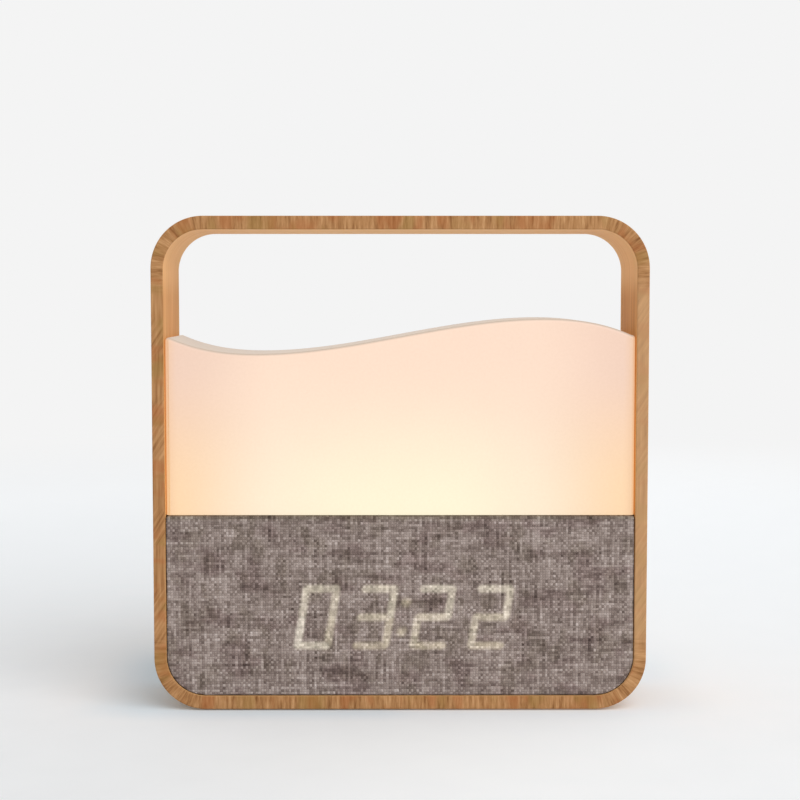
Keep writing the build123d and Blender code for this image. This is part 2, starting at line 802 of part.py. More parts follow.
def make_surround():
    half = surround_thickness / 2
    middle = cone_radius + roll_radius - half
    roll = Pos(middle, 0) * (Circle(roll_radius + half) - Circle(roll_radius - half))
    roll &= band((cone_radius - cone_lip, surround_radius), (-2 * roll_radius, 0))
    rims = band((cone_radius - cone_lip, cone_radius), (-surround_thickness, 0))
    rims += band((middle + roll_radius - half, surround_radius), (-surround_thickness, 0))
    return turned(rims + roll)


def make_speaker_pieces():
    """The pieces of one speaker, drawn with its axis on Z."""
    gap_radius = coil_outer_radius + coil_gap
    pole = band((0, coil_inner_radius - coil_gap), (pole_front, yoke_front))
    back_plate = band((0, plate_radius), (yoke_front, yoke_front + yoke_thickness))
    return {
        "basket": make_basket(),
        "top_plate": turned(band((gap_radius, plate_radius), (plate_front, magnet_front))),
        "magnet": turned(band((magnet_bore, magnet_radius), (magnet_front, yoke_front))),
        "pole_yoke": turned(pole + back_plate),
        "spider": make_spider(),
        "voice_coil": turned(band((coil_inner_radius, coil_outer_radius), coil_depths)),
        "cone": make_cone(),
        "dust_cap": make_dust_cap(),
        "surround": make_surround(),
    }


def make_speaker_gaskets():
    ring = RectangleRounded(speaker_size, speaker_size, speaker_corner) - Circle(gasket_radius)
    for x, y in speaker_screw_places:
        ring -= Pos(x, y) * Circle(m2_radius + pass_gap)
    gasket = Pos(0, 0, -gasket_thickness) * extrude(ring, amount=gasket_thickness)
    return group(speaker_place(x) * gasket for x in speaker_sides.values())


# ---- Main board, inlet, cell and buttons ------------------------------------------------------
def make_main_board():
    x = about(0, board_half_width)
    board = block(x, (board_front_y, board_back_y), (board_low_z, board_high_z))
    through = (board_front_y - overrun, board_back_y + overrun)
    return board.cut(*[rod_y(x, z, m2_radius + pass_gap, through) for x, z in board_screw_places])


def make_board_parts():
    """Chips, a coil, capacitors and the clock's backup cell on the front of the main board."""
    chips = [
        ((-16.0, 38.0), (10.0, 10.0), 1.2),
        ((20.0, 46.0), (7.0, 7.0), 1.0),
        ((18.0, 34.0), (5.0, 5.0), 0.9),
        ((28.0, 46.0), (6.0, 6.0), 3.0),
        ((-18.0, 54.0), (8.0, 3.0), 2.5),
    ]
    rounds = [
        ((-34.0, 38.0), 2.5, 5.5),
        ((-41.0, 38.0), 2.5, 5.5),
        ((-34.0, 45.0), 2.5, 5.5),
        ((-36.0, 60.0), 6.0, 3.0),
    ]
    pieces = []
    for (x, z), (width, height), tall in chips:
        pieces.append(block(about(x, width / 2), (board_front_y - tall, board_front_y), about(z, height / 2)))
    for (x, z), radius, tall in rounds:
        pieces.append(rod_y(x, z, radius, (board_front_y - tall, board_front_y)))
    return group(pieces)


def inlet_ring(width, height, y):
    """A stadium-shaped bar along Y at the charging inlet."""
    return along_y(Pos(0, inlet_z) * RectangleRounded(width, height, height / 2 - 0.01), y)


def make_usb_c_socket():
    mouth = cover_back_y - inlet_recess
    shell = inlet_ring(inlet_width, inlet_height, (board_back_y, mouth))
    hollow = (board_back_y + inlet_base, mouth + overrun)
    return shell - inlet_ring(inlet_width - 2 * inlet_wall, inlet_height - 2 * inlet_wall, hollow)


def make_usb_c_tongue():
    y = (board_back_y + inlet_base, cover_back_y - inlet_recess - tongue_recess)
    return block(about(0, tongue_width / 2), y, about(inlet_z, tongue_height / 2))


def make_battery_cell():
    cell = rod_x(0, cell_z, cell_radius, about(0, cell_length / 2))
    return fillet(cell.faces().filter_by(Axis.X).edges(), cloth_round)


def make_button(x):
    back = button_back_y
    cap = rod_y(x, button_z, button_radius, (back, cover_back_y + button_proud))
    cap = fillet(cap.faces().sort_by(Axis.Y)[-1].edges(), button_round)
    return cap + rod_y(x, button_z, button_radius + button_rim, (back, back + button_rim_height))


def make_stem(x):
    top = button_back_y
    return rod_y(x, button_z, stem_radius, (top - stem_height - stem_sunk, top))


def make_switch_bodies():
    top = board_back_y + switch_height
    pieces = []
    for x in button_xs.values():
        body = block(about(x, switch_size / 2), (board_back_y, top), about(button_z, switch_size / 2))
        pieces.append(body - rod_y(x, button_z, stem_radius + stem_gap, (top - stem_well, top + overrun)))
    return group(pieces)


# ---- Wiring -----------------------------------------------------------------------------------
def make_lamp_lead():
    x, y = lamp_lead_place
    low = deck_z - lamp_lead_drop
    points = [(x, y, deck_z), (x, y, low), (x, board_front_y, low)]
    return lead(points, lead_bend, Circle(lead_radius))


def make_speaker_leads():
    """From the corner of each basket's flange back to the main board."""
    start_y = speaker_front_y + flange_thickness
    out, up = (speaker_screw_reach - shift for shift in speaker_lead_shift)
    wires = []
    for x in speaker_sides.values():
        side = math.copysign(1, x)
        start_x = x - side * out
        start_z = speaker_z + up
        end_x = side * (board_half_width - 4 * lead_radius)
        points = [
            (start_x, start_y, start_z),
            (start_x, start_y / 2, start_z),
            (end_x, 0, start_z + 4),
            (end_x, board_front_y, start_z + 4),
        ]
        wires.append(lead(points, lead_bend, Circle(lead_radius)))
    return group(wires)


def make_battery_lead():
    end_x = cell_length / 2
    out_x = end_x + 2.5 * lead_bend
    up_z = cell_z + 7 * lead_bend
    points = [(end_x, 0, cell_z), (out_x, 0, cell_z), (out_x, 0, up_z), (out_x, board_front_y, up_z)]
    return lead(points, lead_bend, Circle(lead_radius))


def make_display_ribbon():
    low_z = display_z + 2 * lead_bend
    high_z = low_z + 3 * lead_bend
    points = [
        (0, display_board_back_y, low_z),
        (0, display_board_back_y / 3, low_z),
        (0, board_front_y / 3, high_z),
        (0, board_front_y, high_z),
    ]
    return lead(points, lead_bend, Rectangle(ribbon_width, ribbon_thickness))


# ---- Fasteners --------------------------------------------------------------------------------
def make_frame_screws():
    long = m3(10.0)
    return group(from_below(x, y, frame_head_z) * long for x, y in foot_places)


def make_case_screws():
    """The shade's two and the rear cover's four, which are the same screw."""
    short = m3(8.0)
    seat = cover_back_y - counterbore_depth
    places = [from_below(x, y, cavity_high_z) for x, y in shade_screw_places]
    places += [from_back(x, seat, z) for x, z in upper_screws + lower_screws]
    return group(place * short for place in places)


def make_panel_screws():
    """The front panel's four and the speakers' eight, which are the same screw."""
    short = m2(4.5)
    places = [from_back(x, lug_back_y, z) for x, z in baffle_screw_places]
    for x in speaker_sides.values():
        places += [speaker_place(x) * Pos(dx, dy, flange_thickness) for dx, dy in speaker_screw_places]
    return group(place * short for place in places)


def make_board_screws():
    short = m2(6.0)
    return group(from_back(x, board_back_y, z) * short for x, z in board_screw_places)


def make_display_screws():
    long = m2(8.0)
    return group(from_back(x, display_board_back_y, z) * long for x, z in pillar_places)


def make_lamp_screws():
    short = m2(5.0)
    return group(Pos(x, y, lamp_top_z) * short for x, y in lamp_screw_places)


# ---- Every node -------------------------------------------------------------------------------
nodes = {
    "wood_frame": make_wood_frame(),
    "rubber_feet": make_rubber_feet(),
    "chassis": make_chassis(),
    "front_baffle": make_front_baffle(),
    "front_fabric": make_front_fabric(),
    "rear_cover": make_rear_cover(),
    "lamp_shade": make_lamp_shade(),
    "lamp_board": make_lamp_board(),
    "lamp_leds": make_lamp_leds(),
    "lamp_reflector": make_lamp_reflector(),
    "digit_lightbox": make_digit_lightbox(),
    "display_film": make_display_film(),
    "display_board": make_display_board(),
    "display_leds": make_display_leds(),
    "speaker_gaskets": make_speaker_gaskets(),
    "main_board": make_main_board(),
    "board_parts": make_board_parts(),
    "usb_c_socket": make_usb_c_socket(),
    "usb_c_tongue": make_usb_c_tongue(),
    "battery_cell": make_battery_cell(),
    "switch_bodies": make_switch_bodies(),
    "lamp_lead": make_lamp_lead(),
    "speaker_leads": make_speaker_leads(),
    "battery_lead": make_battery_lead(),
    "display_ribbon": make_display_ribbon(),
    "frame_screws": make_frame_screws(),
    "case_screws": make_case_screws(),
    "panel_screws": make_panel_screws(),
    "board_screws": make_board_screws(),
    "display_screws": make_display_screws(),
    "lamp_screws": make_lamp_screws(),
}
for name, x in button_xs.items():
    nodes["button_" + name] = make_button(x)
    nodes["stem_" + name] = make_stem(x)
speaker_pieces = make_speaker_pieces()
for side, x in speaker_sides.items():
    for name, piece in speaker_pieces.items():
        nodes[name + "_" + side] = speaker_place(x) * piece

for name, shape in nodes.items():
    export_step(shape, "parts/" + name + ".step")
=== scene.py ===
import math

import bmesh
import bpy
import numpy as np
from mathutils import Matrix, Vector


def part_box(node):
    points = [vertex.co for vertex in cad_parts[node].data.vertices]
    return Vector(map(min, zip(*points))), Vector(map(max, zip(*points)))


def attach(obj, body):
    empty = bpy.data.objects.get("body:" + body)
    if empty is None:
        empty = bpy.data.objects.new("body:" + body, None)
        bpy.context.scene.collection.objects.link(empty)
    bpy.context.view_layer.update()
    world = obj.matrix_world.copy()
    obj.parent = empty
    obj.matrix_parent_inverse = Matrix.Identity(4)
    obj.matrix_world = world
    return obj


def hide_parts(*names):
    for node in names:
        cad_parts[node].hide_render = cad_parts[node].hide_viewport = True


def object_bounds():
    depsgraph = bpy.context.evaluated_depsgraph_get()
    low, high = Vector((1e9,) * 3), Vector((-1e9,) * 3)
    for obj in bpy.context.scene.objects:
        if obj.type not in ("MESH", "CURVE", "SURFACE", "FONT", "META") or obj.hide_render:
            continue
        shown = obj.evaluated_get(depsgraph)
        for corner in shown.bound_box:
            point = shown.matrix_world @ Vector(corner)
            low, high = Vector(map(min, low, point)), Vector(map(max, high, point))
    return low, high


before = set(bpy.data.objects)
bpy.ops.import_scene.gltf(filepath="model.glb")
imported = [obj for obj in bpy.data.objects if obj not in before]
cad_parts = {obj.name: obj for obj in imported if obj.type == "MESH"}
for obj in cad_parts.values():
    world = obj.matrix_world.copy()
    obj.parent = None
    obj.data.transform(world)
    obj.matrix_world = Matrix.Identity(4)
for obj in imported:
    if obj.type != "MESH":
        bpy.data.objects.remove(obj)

cad_low, cad_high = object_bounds()
MM = 0.001
HOUSING = "housing"

# ---- Sizes in metres: boxes from the frame, the rest as the maker set them ----------------------
hoop_low, hoop_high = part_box("wood_frame")
shade_low, shade_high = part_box("lamp_shade")
cloth_low, cloth_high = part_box("front_fabric")
feet_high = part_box("rubber_feet")[1]
SIDE_WALL = 5.0 * MM
RAIL_WALL = 5.5 * MM
CORNER_RADIUS = 21.0 * MM
EDGE_ROUND = 0.6 * MM
FOOT_PLACES = (72.0 * MM, 13.0 * MM)
SHADE_ROUND = 1.5 * MM
SHADE_WALL = 2.2 * MM
WAVE_MIDDLE = 152.3 * MM
WAVE_KNOTS = (-94.7, -58.0, 0.0, 58.0, 94.7)
WAVE_HEIGHTS = (0.2, -7.1, 0.0, 7.1, -0.2)
WAVE_END_SLOPE = -0.48
CLOTH_CORNER = 15.7 * MM
CLOTH_ROUND = 0.7 * MM
DIGIT_MIDDLE = (1.5 * MM, 38.35 * MM)
DIGIT_WIDTH = 15.2 * MM
DIGIT_HEIGHT = 26.3 * MM
DIGIT_PITCH = 23.5 * MM
DIGIT_SLANT = 0.162
STROKE = 3.0 * MM
COLON_RISE = 6.0 * MM
THREAD_PITCH = 1.04 * MM
BACKDROP_LIGHT = 0.905
ROOM_LIGHT = 0.5
KEY_PLACE = (1.46, -1.87, 2.24)
KEY_SIZE = 2.8
KEY_POWER = 57.5
hoop_middle = (hoop_low.z + hoop_high.z) / 2


# ---- Small tools --------------------------------------------------------------------------------
def srgb(red, green, blue):
    """A colour given as it looks on screen, 0 to 255, turned linear."""
    def linear(value):
        share = value / 255
        return share / 12.92 if share <= 0.04045 else ((share + 0.055) / 1.055) ** 2.4

    return linear(red), linear(green), linear(blue), 1.0


def toned(colour, factor):
    """The colour made darker or lighter."""
    return tuple(min(part * factor, 1) for part in colour[:3]) + (1,)


def in_scene(name, mesh):
    piece = bpy.data.objects.new(name, mesh)
    bpy.context.scene.collection.objects.link(piece)
    return piece


def new_piece(name, vertices, faces):
    """A smooth mesh object from plain lists, in the scene but on no body yet."""
    mesh = bpy.data.meshes.new(name)
    mesh.from_pydata([tuple(map(float, v)) for v in vertices], [], faces)
    mesh.validate()
    mesh.update()
    mesh.polygons.foreach_set("use_smooth", [True] * len(mesh.polygons))
    return in_scene(name, mesh)


def give(piece, material):
    """Makes this material the piece's only one."""
    piece.data.materials.clear()
    piece.data.materials.append(material)


def turn_outwards(piece):
    """Recalculates a closed piece's normals so that they point out of it."""
    work = bmesh.new()
    work.from_mesh(piece.data)
    bmesh.ops.remove_doubles(work, verts=work.verts, dist=0.001 * MM)
    bmesh.ops.recalc_face_normals(work, faces=work.faces)
    work.to_mesh(piece.data)
    work.free()


def crisp(piece):
    """Keeps large flat faces flat beside small roundings: face-weighted normals, made permanent."""
    modifier = piece.modifiers.new("weighted", "WEIGHTED_NORMAL")
    modifier.weight = 100
    graph = bpy.context.evaluated_depsgraph_get()
    mesh = bpy.data.meshes.new_from_object(
        piece.evaluated_get(graph), preserve_all_data_layers=True, depsgraph=graph
    )
    piece.modifiers.remove(modifier)
    old = piece.data
    piece.data = mesh
    bpy.data.meshes.remove(old)


def vertices_of(piece):
    places = np.empty(3 * len(piece.data.vertices))
    piece.data.vertices.foreach_get("co", places)
    return places.reshape(-1, 3)


def finished(piece, body, slot, *replaced):
    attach(piece, body)
    if replaced:
        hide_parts(*replaced)


class Finish:
    """A material under construction: nodes are added with their inputs by name."""

    def __init__(self, name):
        self.material = bpy.data.materials.new(name)
        self.material.use_nodes = True
        self.tree = self.material.node_tree
        self.tree.nodes.clear()
        self.output = self.tree.nodes.new("ShaderNodeOutputMaterial")

    def node(self, kind, inputs=None, **settings):
        node = self.tree.nodes.new("ShaderNode" + kind)
        for name, value in settings.items():
            setattr(node, name, value)
        for name, value in (inputs or {}).items():
            socket = node.inputs[name]
            if isinstance(value, bpy.types.NodeSocket):
                self.tree.links.new(value, socket)
            else:
                socket.default_value = value
        return node

    def math(self, operation, *values):
        return self.node("Math", dict(enumerate(values)), operation=operation).outputs[0]

    def product(self, *values):
        result = values[0]
        for value in values[1:]:
            result = self.math("MULTIPLY", result, value)
        return result

    def spread(self, value, low, high, to_low=0.0, to_high=1.0, smooth=True):
        """value mapped from low..high to to_low..to_high, and held there beyond."""
        inputs = {"Value": value, "From Min": low, "From Max": high, "To Min": to_low, "To Max": to_high}
        kind = "SMOOTHSTEP" if smooth else "LINEAR"
        return self.node("MapRange", inputs, interpolation_type=kind).outputs["Result"]

    def mix(self, factor, first, second, blend="MIX"):
        """Two colours mixed by factor."""
        node = self.node("Mix", data_type="RGBA", blend_type=blend)
        for index, value in ((0, factor), (6, first), (7, second)):
            if isinstance(value, bpy.types.NodeSocket):
                self.tree.links.new(value, node.inputs[index])
            else:
                node.inputs[index].default_value = value
        return node.outputs[2]

    def ramp(self, factor, *stops):
        """A colour for each place from 0 to 1, given as (place, colour) pairs."""
        node = self.node("ValToRGB", {"Fac": factor})
        elements = node.color_ramp.elements
        while len(elements) < len(stops):
            elements.new(0.5)
        for element, (place, colour) in zip(elements, stops):
            element.position = place
            element.color = colour
        return node.outputs["Color"]

    def place(self):
        """The piece's own coordinates, in metres."""
        return self.node("TexCoord").outputs["Object"]

    def parts(self, vector):
        return self.node("SeparateXYZ", {"Vector": vector}).outputs

    def joined(self, x=0.0, y=0.0, z=0.0):
        return self.node("CombineXYZ", {"X": x, "Y": y, "Z": z}).outputs["Vector"]

    def stretched(self, vector, scale, turn=(0, 0, 0)):
        inputs = {"Vector": vector, "Scale": scale, "Rotation": turn}
        return self.node("Mapping", inputs).outputs["Vector"]

    def noise(self, vector, scale, detail=2.0, roughness=0.5):
        inputs = {"Vector": vector, "Scale": scale, "Detail": detail, "Roughness": roughness}
        return self.node("TexNoise", inputs).outputs["Fac"]

    def swayed(self, value, by, gain):
        """value with gain times by's distance from one half added."""
        return self.math("MULTIPLY_ADD", self.math("SUBTRACT", by, 0.5), gain, value)

    def bump(self, height, distance):
        inputs = {"Height": height, "Distance": distance, "Strength": 1.0}
        return self.node("Bump", inputs).outputs["Normal"]

    def surface(self, **inputs):
        """A Principled surface; underscores in names stand for spaces."""
        named = {name.replace("_", " "): value for name, value in inputs.items()}
        shader = self.node("BsdfPrincipled", named)
        self.tree.links.new(shader.outputs[0], self.output.inputs["Surface"])
        return self.material


class Recipe:
    """A Geometry Nodes tree with named sizes, run once and kept as a plain mesh."""

    def __init__(self, name, **sizes):
        self.sizes = {label.replace("_", " "): value for label, value in sizes.items()}
        self.tree = bpy.data.node_groups.new(name, "GeometryNodeTree")
        socket = self.tree.interface.new_socket
        for label, value in self.sizes.items():
            kind = "NodeSocketInt" if isinstance(value, int) else "NodeSocketFloat"
            socket(label, in_out="INPUT", socket_type=kind)
        socket("Geometry", in_out="OUTPUT", socket_type="NodeSocketGeometry")
        self.given = self.tree.nodes.new("NodeGroupInput").outputs

    def node(self, kind, inputs=None, **settings):
        prefixes = ("ShaderNode", "FunctionNode", "GeometryNode")
        kind = next(p + kind for p in prefixes if hasattr(bpy.types, p + kind))
        node = self.tree.nodes.new(kind)
        for name, value in settings.items():
            setattr(node, name, value)
        for name, value in (inputs or {}).items():
            socket = node.inputs[name]
            for one in value if isinstance(value, list) else [value]:
                if isinstance(one, bpy.types.NodeSocket):
                    self.tree.links.new(one, socket)
                else:
                    socket.default_value = one
        return node

    def out(self, kind, inputs=None, **settings):
        """The first output of a new node."""
        return self.node(kind, inputs, **settings).outputs[0]

    def math(self, operation, *values, clamp=False):
        return self.out("Math", dict(enumerate(values)), operation=operation, use_clamp=clamp)

    def joined(self, x=0.0, y=0.0, z=0.0):
        return self.out("CombineXYZ", {"X": x, "Y": y, "Z": z})

    def make(self, name, geometry, material):
        """Ends the tree, runs it and returns the result as an ordinary piece."""
        solid = self.out("RealizeInstances", {"Geometry": geometry})
        painted = self.out("SetMaterial", {"Geometry": solid, "Material": material})
        ending = self.tree.nodes.new("NodeGroupOutput")
        self.tree.links.new(painted, ending.inputs[0])
        piece = in_scene(name, bpy.data.meshes.new(name + "_plan"))
        modifier = piece.modifiers.new(name, "NODES")
        modifier.node_group = self.tree
        for item in self.tree.interface.items_tree:
            if item.in_out == "INPUT":
                modifier[item.identifier] = self.sizes[item.name]
        graph = bpy.context.evaluated_depsgraph_get()
        mesh = bpy.data.meshes.new_from_object(
            piece.evaluated_get(graph), preserve_all_data_layers=True, depsgraph=graph
        )
        piece.modifiers.remove(modifier)
        piece.data = mesh
        mesh.name = name
        return piece


# ---- Camera -------------------------------------------------------------------------------------
camera_data = bpy.data.cameras.new("camera")
camera = in_scene("camera", camera_data)
bpy.context.scene.camera = camera
camera_data.sensor_width = 36.0
camera_data.lens = 72.0
camera_data.clip_start = 0.01
camera_data.clip_end = 20.0
camera.location = (-1.5 * MM, hoop_low.y - 0.6421, hoop_low.z + 0.1681)
camera.rotation_euler = (math.radians(90 - 3.73), 0.0, math.radians(-0.125))


# ---- Stage and light ----------------------------------------------------------------------------
def backdrop_paper():
    """White paper that glows evenly away from the clock, and near it is given painted light by emission
    where the key light fades, so that it looks even all over. Close beside the hoop it is painted a
    little darker and cooler, a painted shadow."""
    finish = Finish("backdrop_paper")
    place = finish.place()
    x, y, _ = finish.parts(place)
    grain = finish.noise(place, 40.0)
    paper = finish.ramp(grain, (0.3, (0.87, 0.895, 0.915, 1)), (0.7, (0.885, 0.91, 0.93, 1)))

    # Painted shadow: close beside the hoop the paper is mixed to a darker, cooler colour.
    near_side = finish.spread(finish.math("ABSOLUTE", x), hoop_high.x, hoop_high.x + 0.04, 1.0, 0.0)
    past_front = finish.spread(y, -0.045, -0.015)
    short_of_back = finish.spread(y, 0.05, 0.12, 1.0, 0.0)
    less_on_right = finish.spread(x, -0.01, 0.01, 1.0, 0.4)
    beside = finish.product(near_side, past_front, short_of_back, less_on_right)
    paper = finish.mix(beside, paper, (0.66, 0.77, 0.85, 1))

    reach = finish.math("SQRT", finish.math("ADD", finish.product(x, x), finish.product(y, y)))
    far = finish.spread(reach, 0.55, 1.3)
    colour = finish.mix(far, paper, (0.0, 0.0, 0.0, 1))

    # The key light stands in front on the right. Paper towards the back left gets less of it and is
    # given painted light by emission, and a little painted light goes to the right and the front as
    # well.
    behind = finish.math("SUBTRACT", finish.product(y, 0.8), finish.product(x, 0.6))
    in_front = finish.math("MAXIMUM", finish.product(y, -1.0), 0.0)
    to_right = finish.math("MULTIPLY_ADD", in_front, 0.6, x)
    painted_light_behind = finish.spread(behind, -0.2, 0.7, 0.0, 0.21, smooth=False)
    painted_light_right = finish.spread(to_right, -0.02, 0.15, 0.0, 0.09)
    painted_light_near = finish.math("ADD", painted_light_behind, painted_light_right)
    painted_light_near = finish.joined(painted_light_near, painted_light_near, painted_light_near)
    light = finish.mix(far, painted_light_near, (BACKDROP_LIGHT, BACKDROP_LIGHT, BACKDROP_LIGHT, 1))
    return finish.surface(
        Base_Color=colour, Roughness=0.9, Specular_IOR_Level=0.0, Emission_Color=light,
        Emission_Strength=1.0,
    )


def make_stage():
    """A pale round sweep: a floor that curves up into a low wall on every side."""
    flat, bend, top = 2.4, 1.0, 1.5
    profile = [(0.05, 0.0), (flat / 2, 0.0), (flat, 0.0)]
    for i in range(1, 17):
        angle = math.pi / 2 * i / 16
        profile.append((flat + bend * math.sin(angle), bend - bend * math.cos(angle)))
    profile.append((flat + bend, top))
    around = 96
    vertices = [(0, 0, 0)]
    for reach, z in profile:
        for i in range(around):
            angle = 2 * math.pi * i / around
            vertices.append((reach * math.cos(angle), reach * math.sin(angle), z))
    faces = [(0, 1 + i, 1 + (i + 1) % around) for i in range(around)]
    for ring in range(len(profile) - 1):
        for i in range(around):
            a, b = 1 + ring * around + i, 1 + ring * around + (i + 1) % around
            faces.append((a, a + around, b + around, b))
    sweep = new_piece("backdrop", vertices, faces)
    give(sweep, backdrop_paper())


def make_key_light():
    """One large soft light that faces the clock's middle."""
    data = bpy.data.lights.new("key", "AREA")
    data.shape = "RECTANGLE"
    data.size = data.size_y = KEY_SIZE
    data.energy = KEY_POWER
    light = in_scene("key", data)
    light.location = KEY_PLACE
    away = light.location - (cad_low + cad_high) / 2
    light.rotation_euler = away.to_track_quat("Z", "Y").to_euler()
    light.visible_camera = False


def make_room_light():
    world = bpy.data.worlds.new("studio")
    world.use_nodes = True
    background = world.node_tree.nodes["Background"]
    background.inputs["Color"].default_value = (1, 1, 1, 1)
    background.inputs["Strength"].default_value = ROOM_LIGHT
    bpy.context.scene.world = world


make_stage()
make_room_light()
make_key_light()
bpy.context.scene.view_settings.view_transform = "Standard"


# ---- Wood ---------------------------------------------------------------------------------------
def bent_oak():
    """Figure that follows the hoop: u runs round it and v across its wall, both in metres."""
    finish = Finish("bent_oak")
    round_hoop, across, _ = finish.parts(finish.node("UVMap", uv_map="path").outputs["UV"])
    x, y, z = finish.parts(finish.place())
    grain = finish.joined(round_hoop, across, y)
    height = finish.math("ABSOLUTE", finish.math("SUBTRACT", z, hoop_middle))
    on_rail = finish.spread(height, 66 * MM, 78 * MM)
    depth = finish.math("ABSOLUTE", y)
    on_rim = finish.spread(depth, hoop_high.y - 0.75 * MM, hoop_high.y - 0.15 * MM)

    # Rim: end grain drawn across the rails and corners, long and slanting figure on the sides.
    cross = finish.noise(finish.stretched(grain, (1, 0.12, 0.2)), 950.0, 3.0, 0.6)
    along = finish.noise(finish.stretched(grain, (0.05, 1, 0.2)), 620.0, 2.0, 0.6)
    slope = finish.math("MULTIPLY_ADD", across, 1.6, round_hoop)
    slant = finish.noise(finish.stretched(finish.joined(slope, across, y), (1, 0.2, 0.2)), 480.0, 2.0)
    slant_here = finish.noise(finish.stretched(grain, (1, 0.3, 0.3)), 45.0, 0.0)
    slant_here = finish.spread(slant_here, 0.42, 0.58)
    side = finish.mix(finish.product(slant_here, 0.75), along, slant)
    tone = finish.mix(on_rail, side, cross)
    rim = finish.ramp(
        tone, (0.28, srgb(128, 84, 46)), (0.45, srgb(166, 119, 75)), (0.58, srgb(182, 135, 90)),
        (0.75, srgb(203, 157, 110)),
    )
    warm = finish.spread(finish.noise(finish.stretched(grain, (1, 0.5, 0.3)), 110.0, 2.0), 0.5, 0.64)
    rim = finish.mix(finish.product(warm, 0.5), rim, srgb(166, 98, 54))
    olive_field = finish.stretched(finish.joined(across, round_hoop, y), (0.5, 1, 0.3))
    olive = finish.spread(finish.noise(olive_field, 90.0, 2.0), 0.52, 0.66)
    rim = finish.mix(finish.product(olive, 0.42), rim, srgb(150, 120, 63))
    # Painted light: the rim on the right side is mixed paler, standing in for the key light falling from
    # the right.
    on_side = finish.math("SUBTRACT", 1.0, on_rail)
    paler = finish.product(finish.spread(x, 70 * MM, 99 * MM), on_side)
    rim = finish.mix(finish.product(paler, 0.5), rim, srgb(202, 160, 118))

    # Broad faces: smooth, paler, with faint long grain; outside, darker bands and open pores too.
    lines = finish.noise(finish.stretched(grain, (0.025, 0.3, 1)), 700.0, 3.0, 0.6)
    wall = finish.ramp(
        lines, (0.32, srgb(200, 141, 80)), (0.52, srgb(224, 167, 102)), (0.72, srgb(240, 187, 123))
    )
    cloud = finish.noise(finish.stretched(grain, (0.3, 1, 1)), 60.0, 1.0)
    wall = finish.mix(finish.spread(cloud, 0.45, 0.7, 0.0, 0.3), wall, srgb(224, 152, 78))
    # Painted shade: walls on the right side are made darker and warmer, as the inner wall there faces
    # away from the key light, and every wall darker towards the back.
    wall = finish.mix(finish.spread(x, 60 * MM, 94 * MM), wall, srgb(248, 240, 214), "MULTIPLY")
    wall = finish.mix(finish.spread(y, -22 * MM, 22 * MM), wall, srgb(246, 242, 232), "MULTIPLY")
    inner = finish.spread(across, -1 * MM, 1 * MM, 1.0, 0.0)
    # Painted light: the inner faces of the rails are mixed lighter, for the shade's glow falling on
    # them.
    lit_rail = finish.product(on_rail, inner)
    wall = finish.mix(finish.product(lit_rail, 0.6), wall, srgb(246, 198, 138))
    bands = finish.noise(finish.stretched(grain, (0.04, 0.3, 1)), 160.0, 2.0)
    pores = finish.noise(finish.stretched(grain, (0.035, 0.3, 1)), 1100.0, 3.0, 0.6)
    outer = finish.mix(finish.spread(bands, 0.4, 0.62, 0.0, 0.55), wall, srgb(206, 146, 84))
    outer = finish.mix(finish.spread(pores, 0.52, 0.66, 0.0, 0.5), outer, srgb(168, 110, 58))
    wall = finish.mix(inner, outer, wall)

    colour = finish.mix(on_rim, wall, rim)
    # Painted highlight: the rounded edge between rim and walls is mixed lighter, as if catching the
    # light.
    painted_edge_highlight = finish.product(on_rim, finish.math("SUBTRACT", 1.0, on_rim))
    colour = finish.mix(finish.product(painted_edge_highlight, 2.0), colour, srgb(224, 172, 118))
    height_map = finish.mix(on_rim, lines, tone)
    normal = finish.bump(height_map, 0.03 * MM)
    gloss = finish.spread(lines, 0.3, 0.7, 0.62, 0.54)
    return finish.surface(Base_Color=colour, Roughness=gloss, Normal=normal, Specular_IOR_Level=0.12)


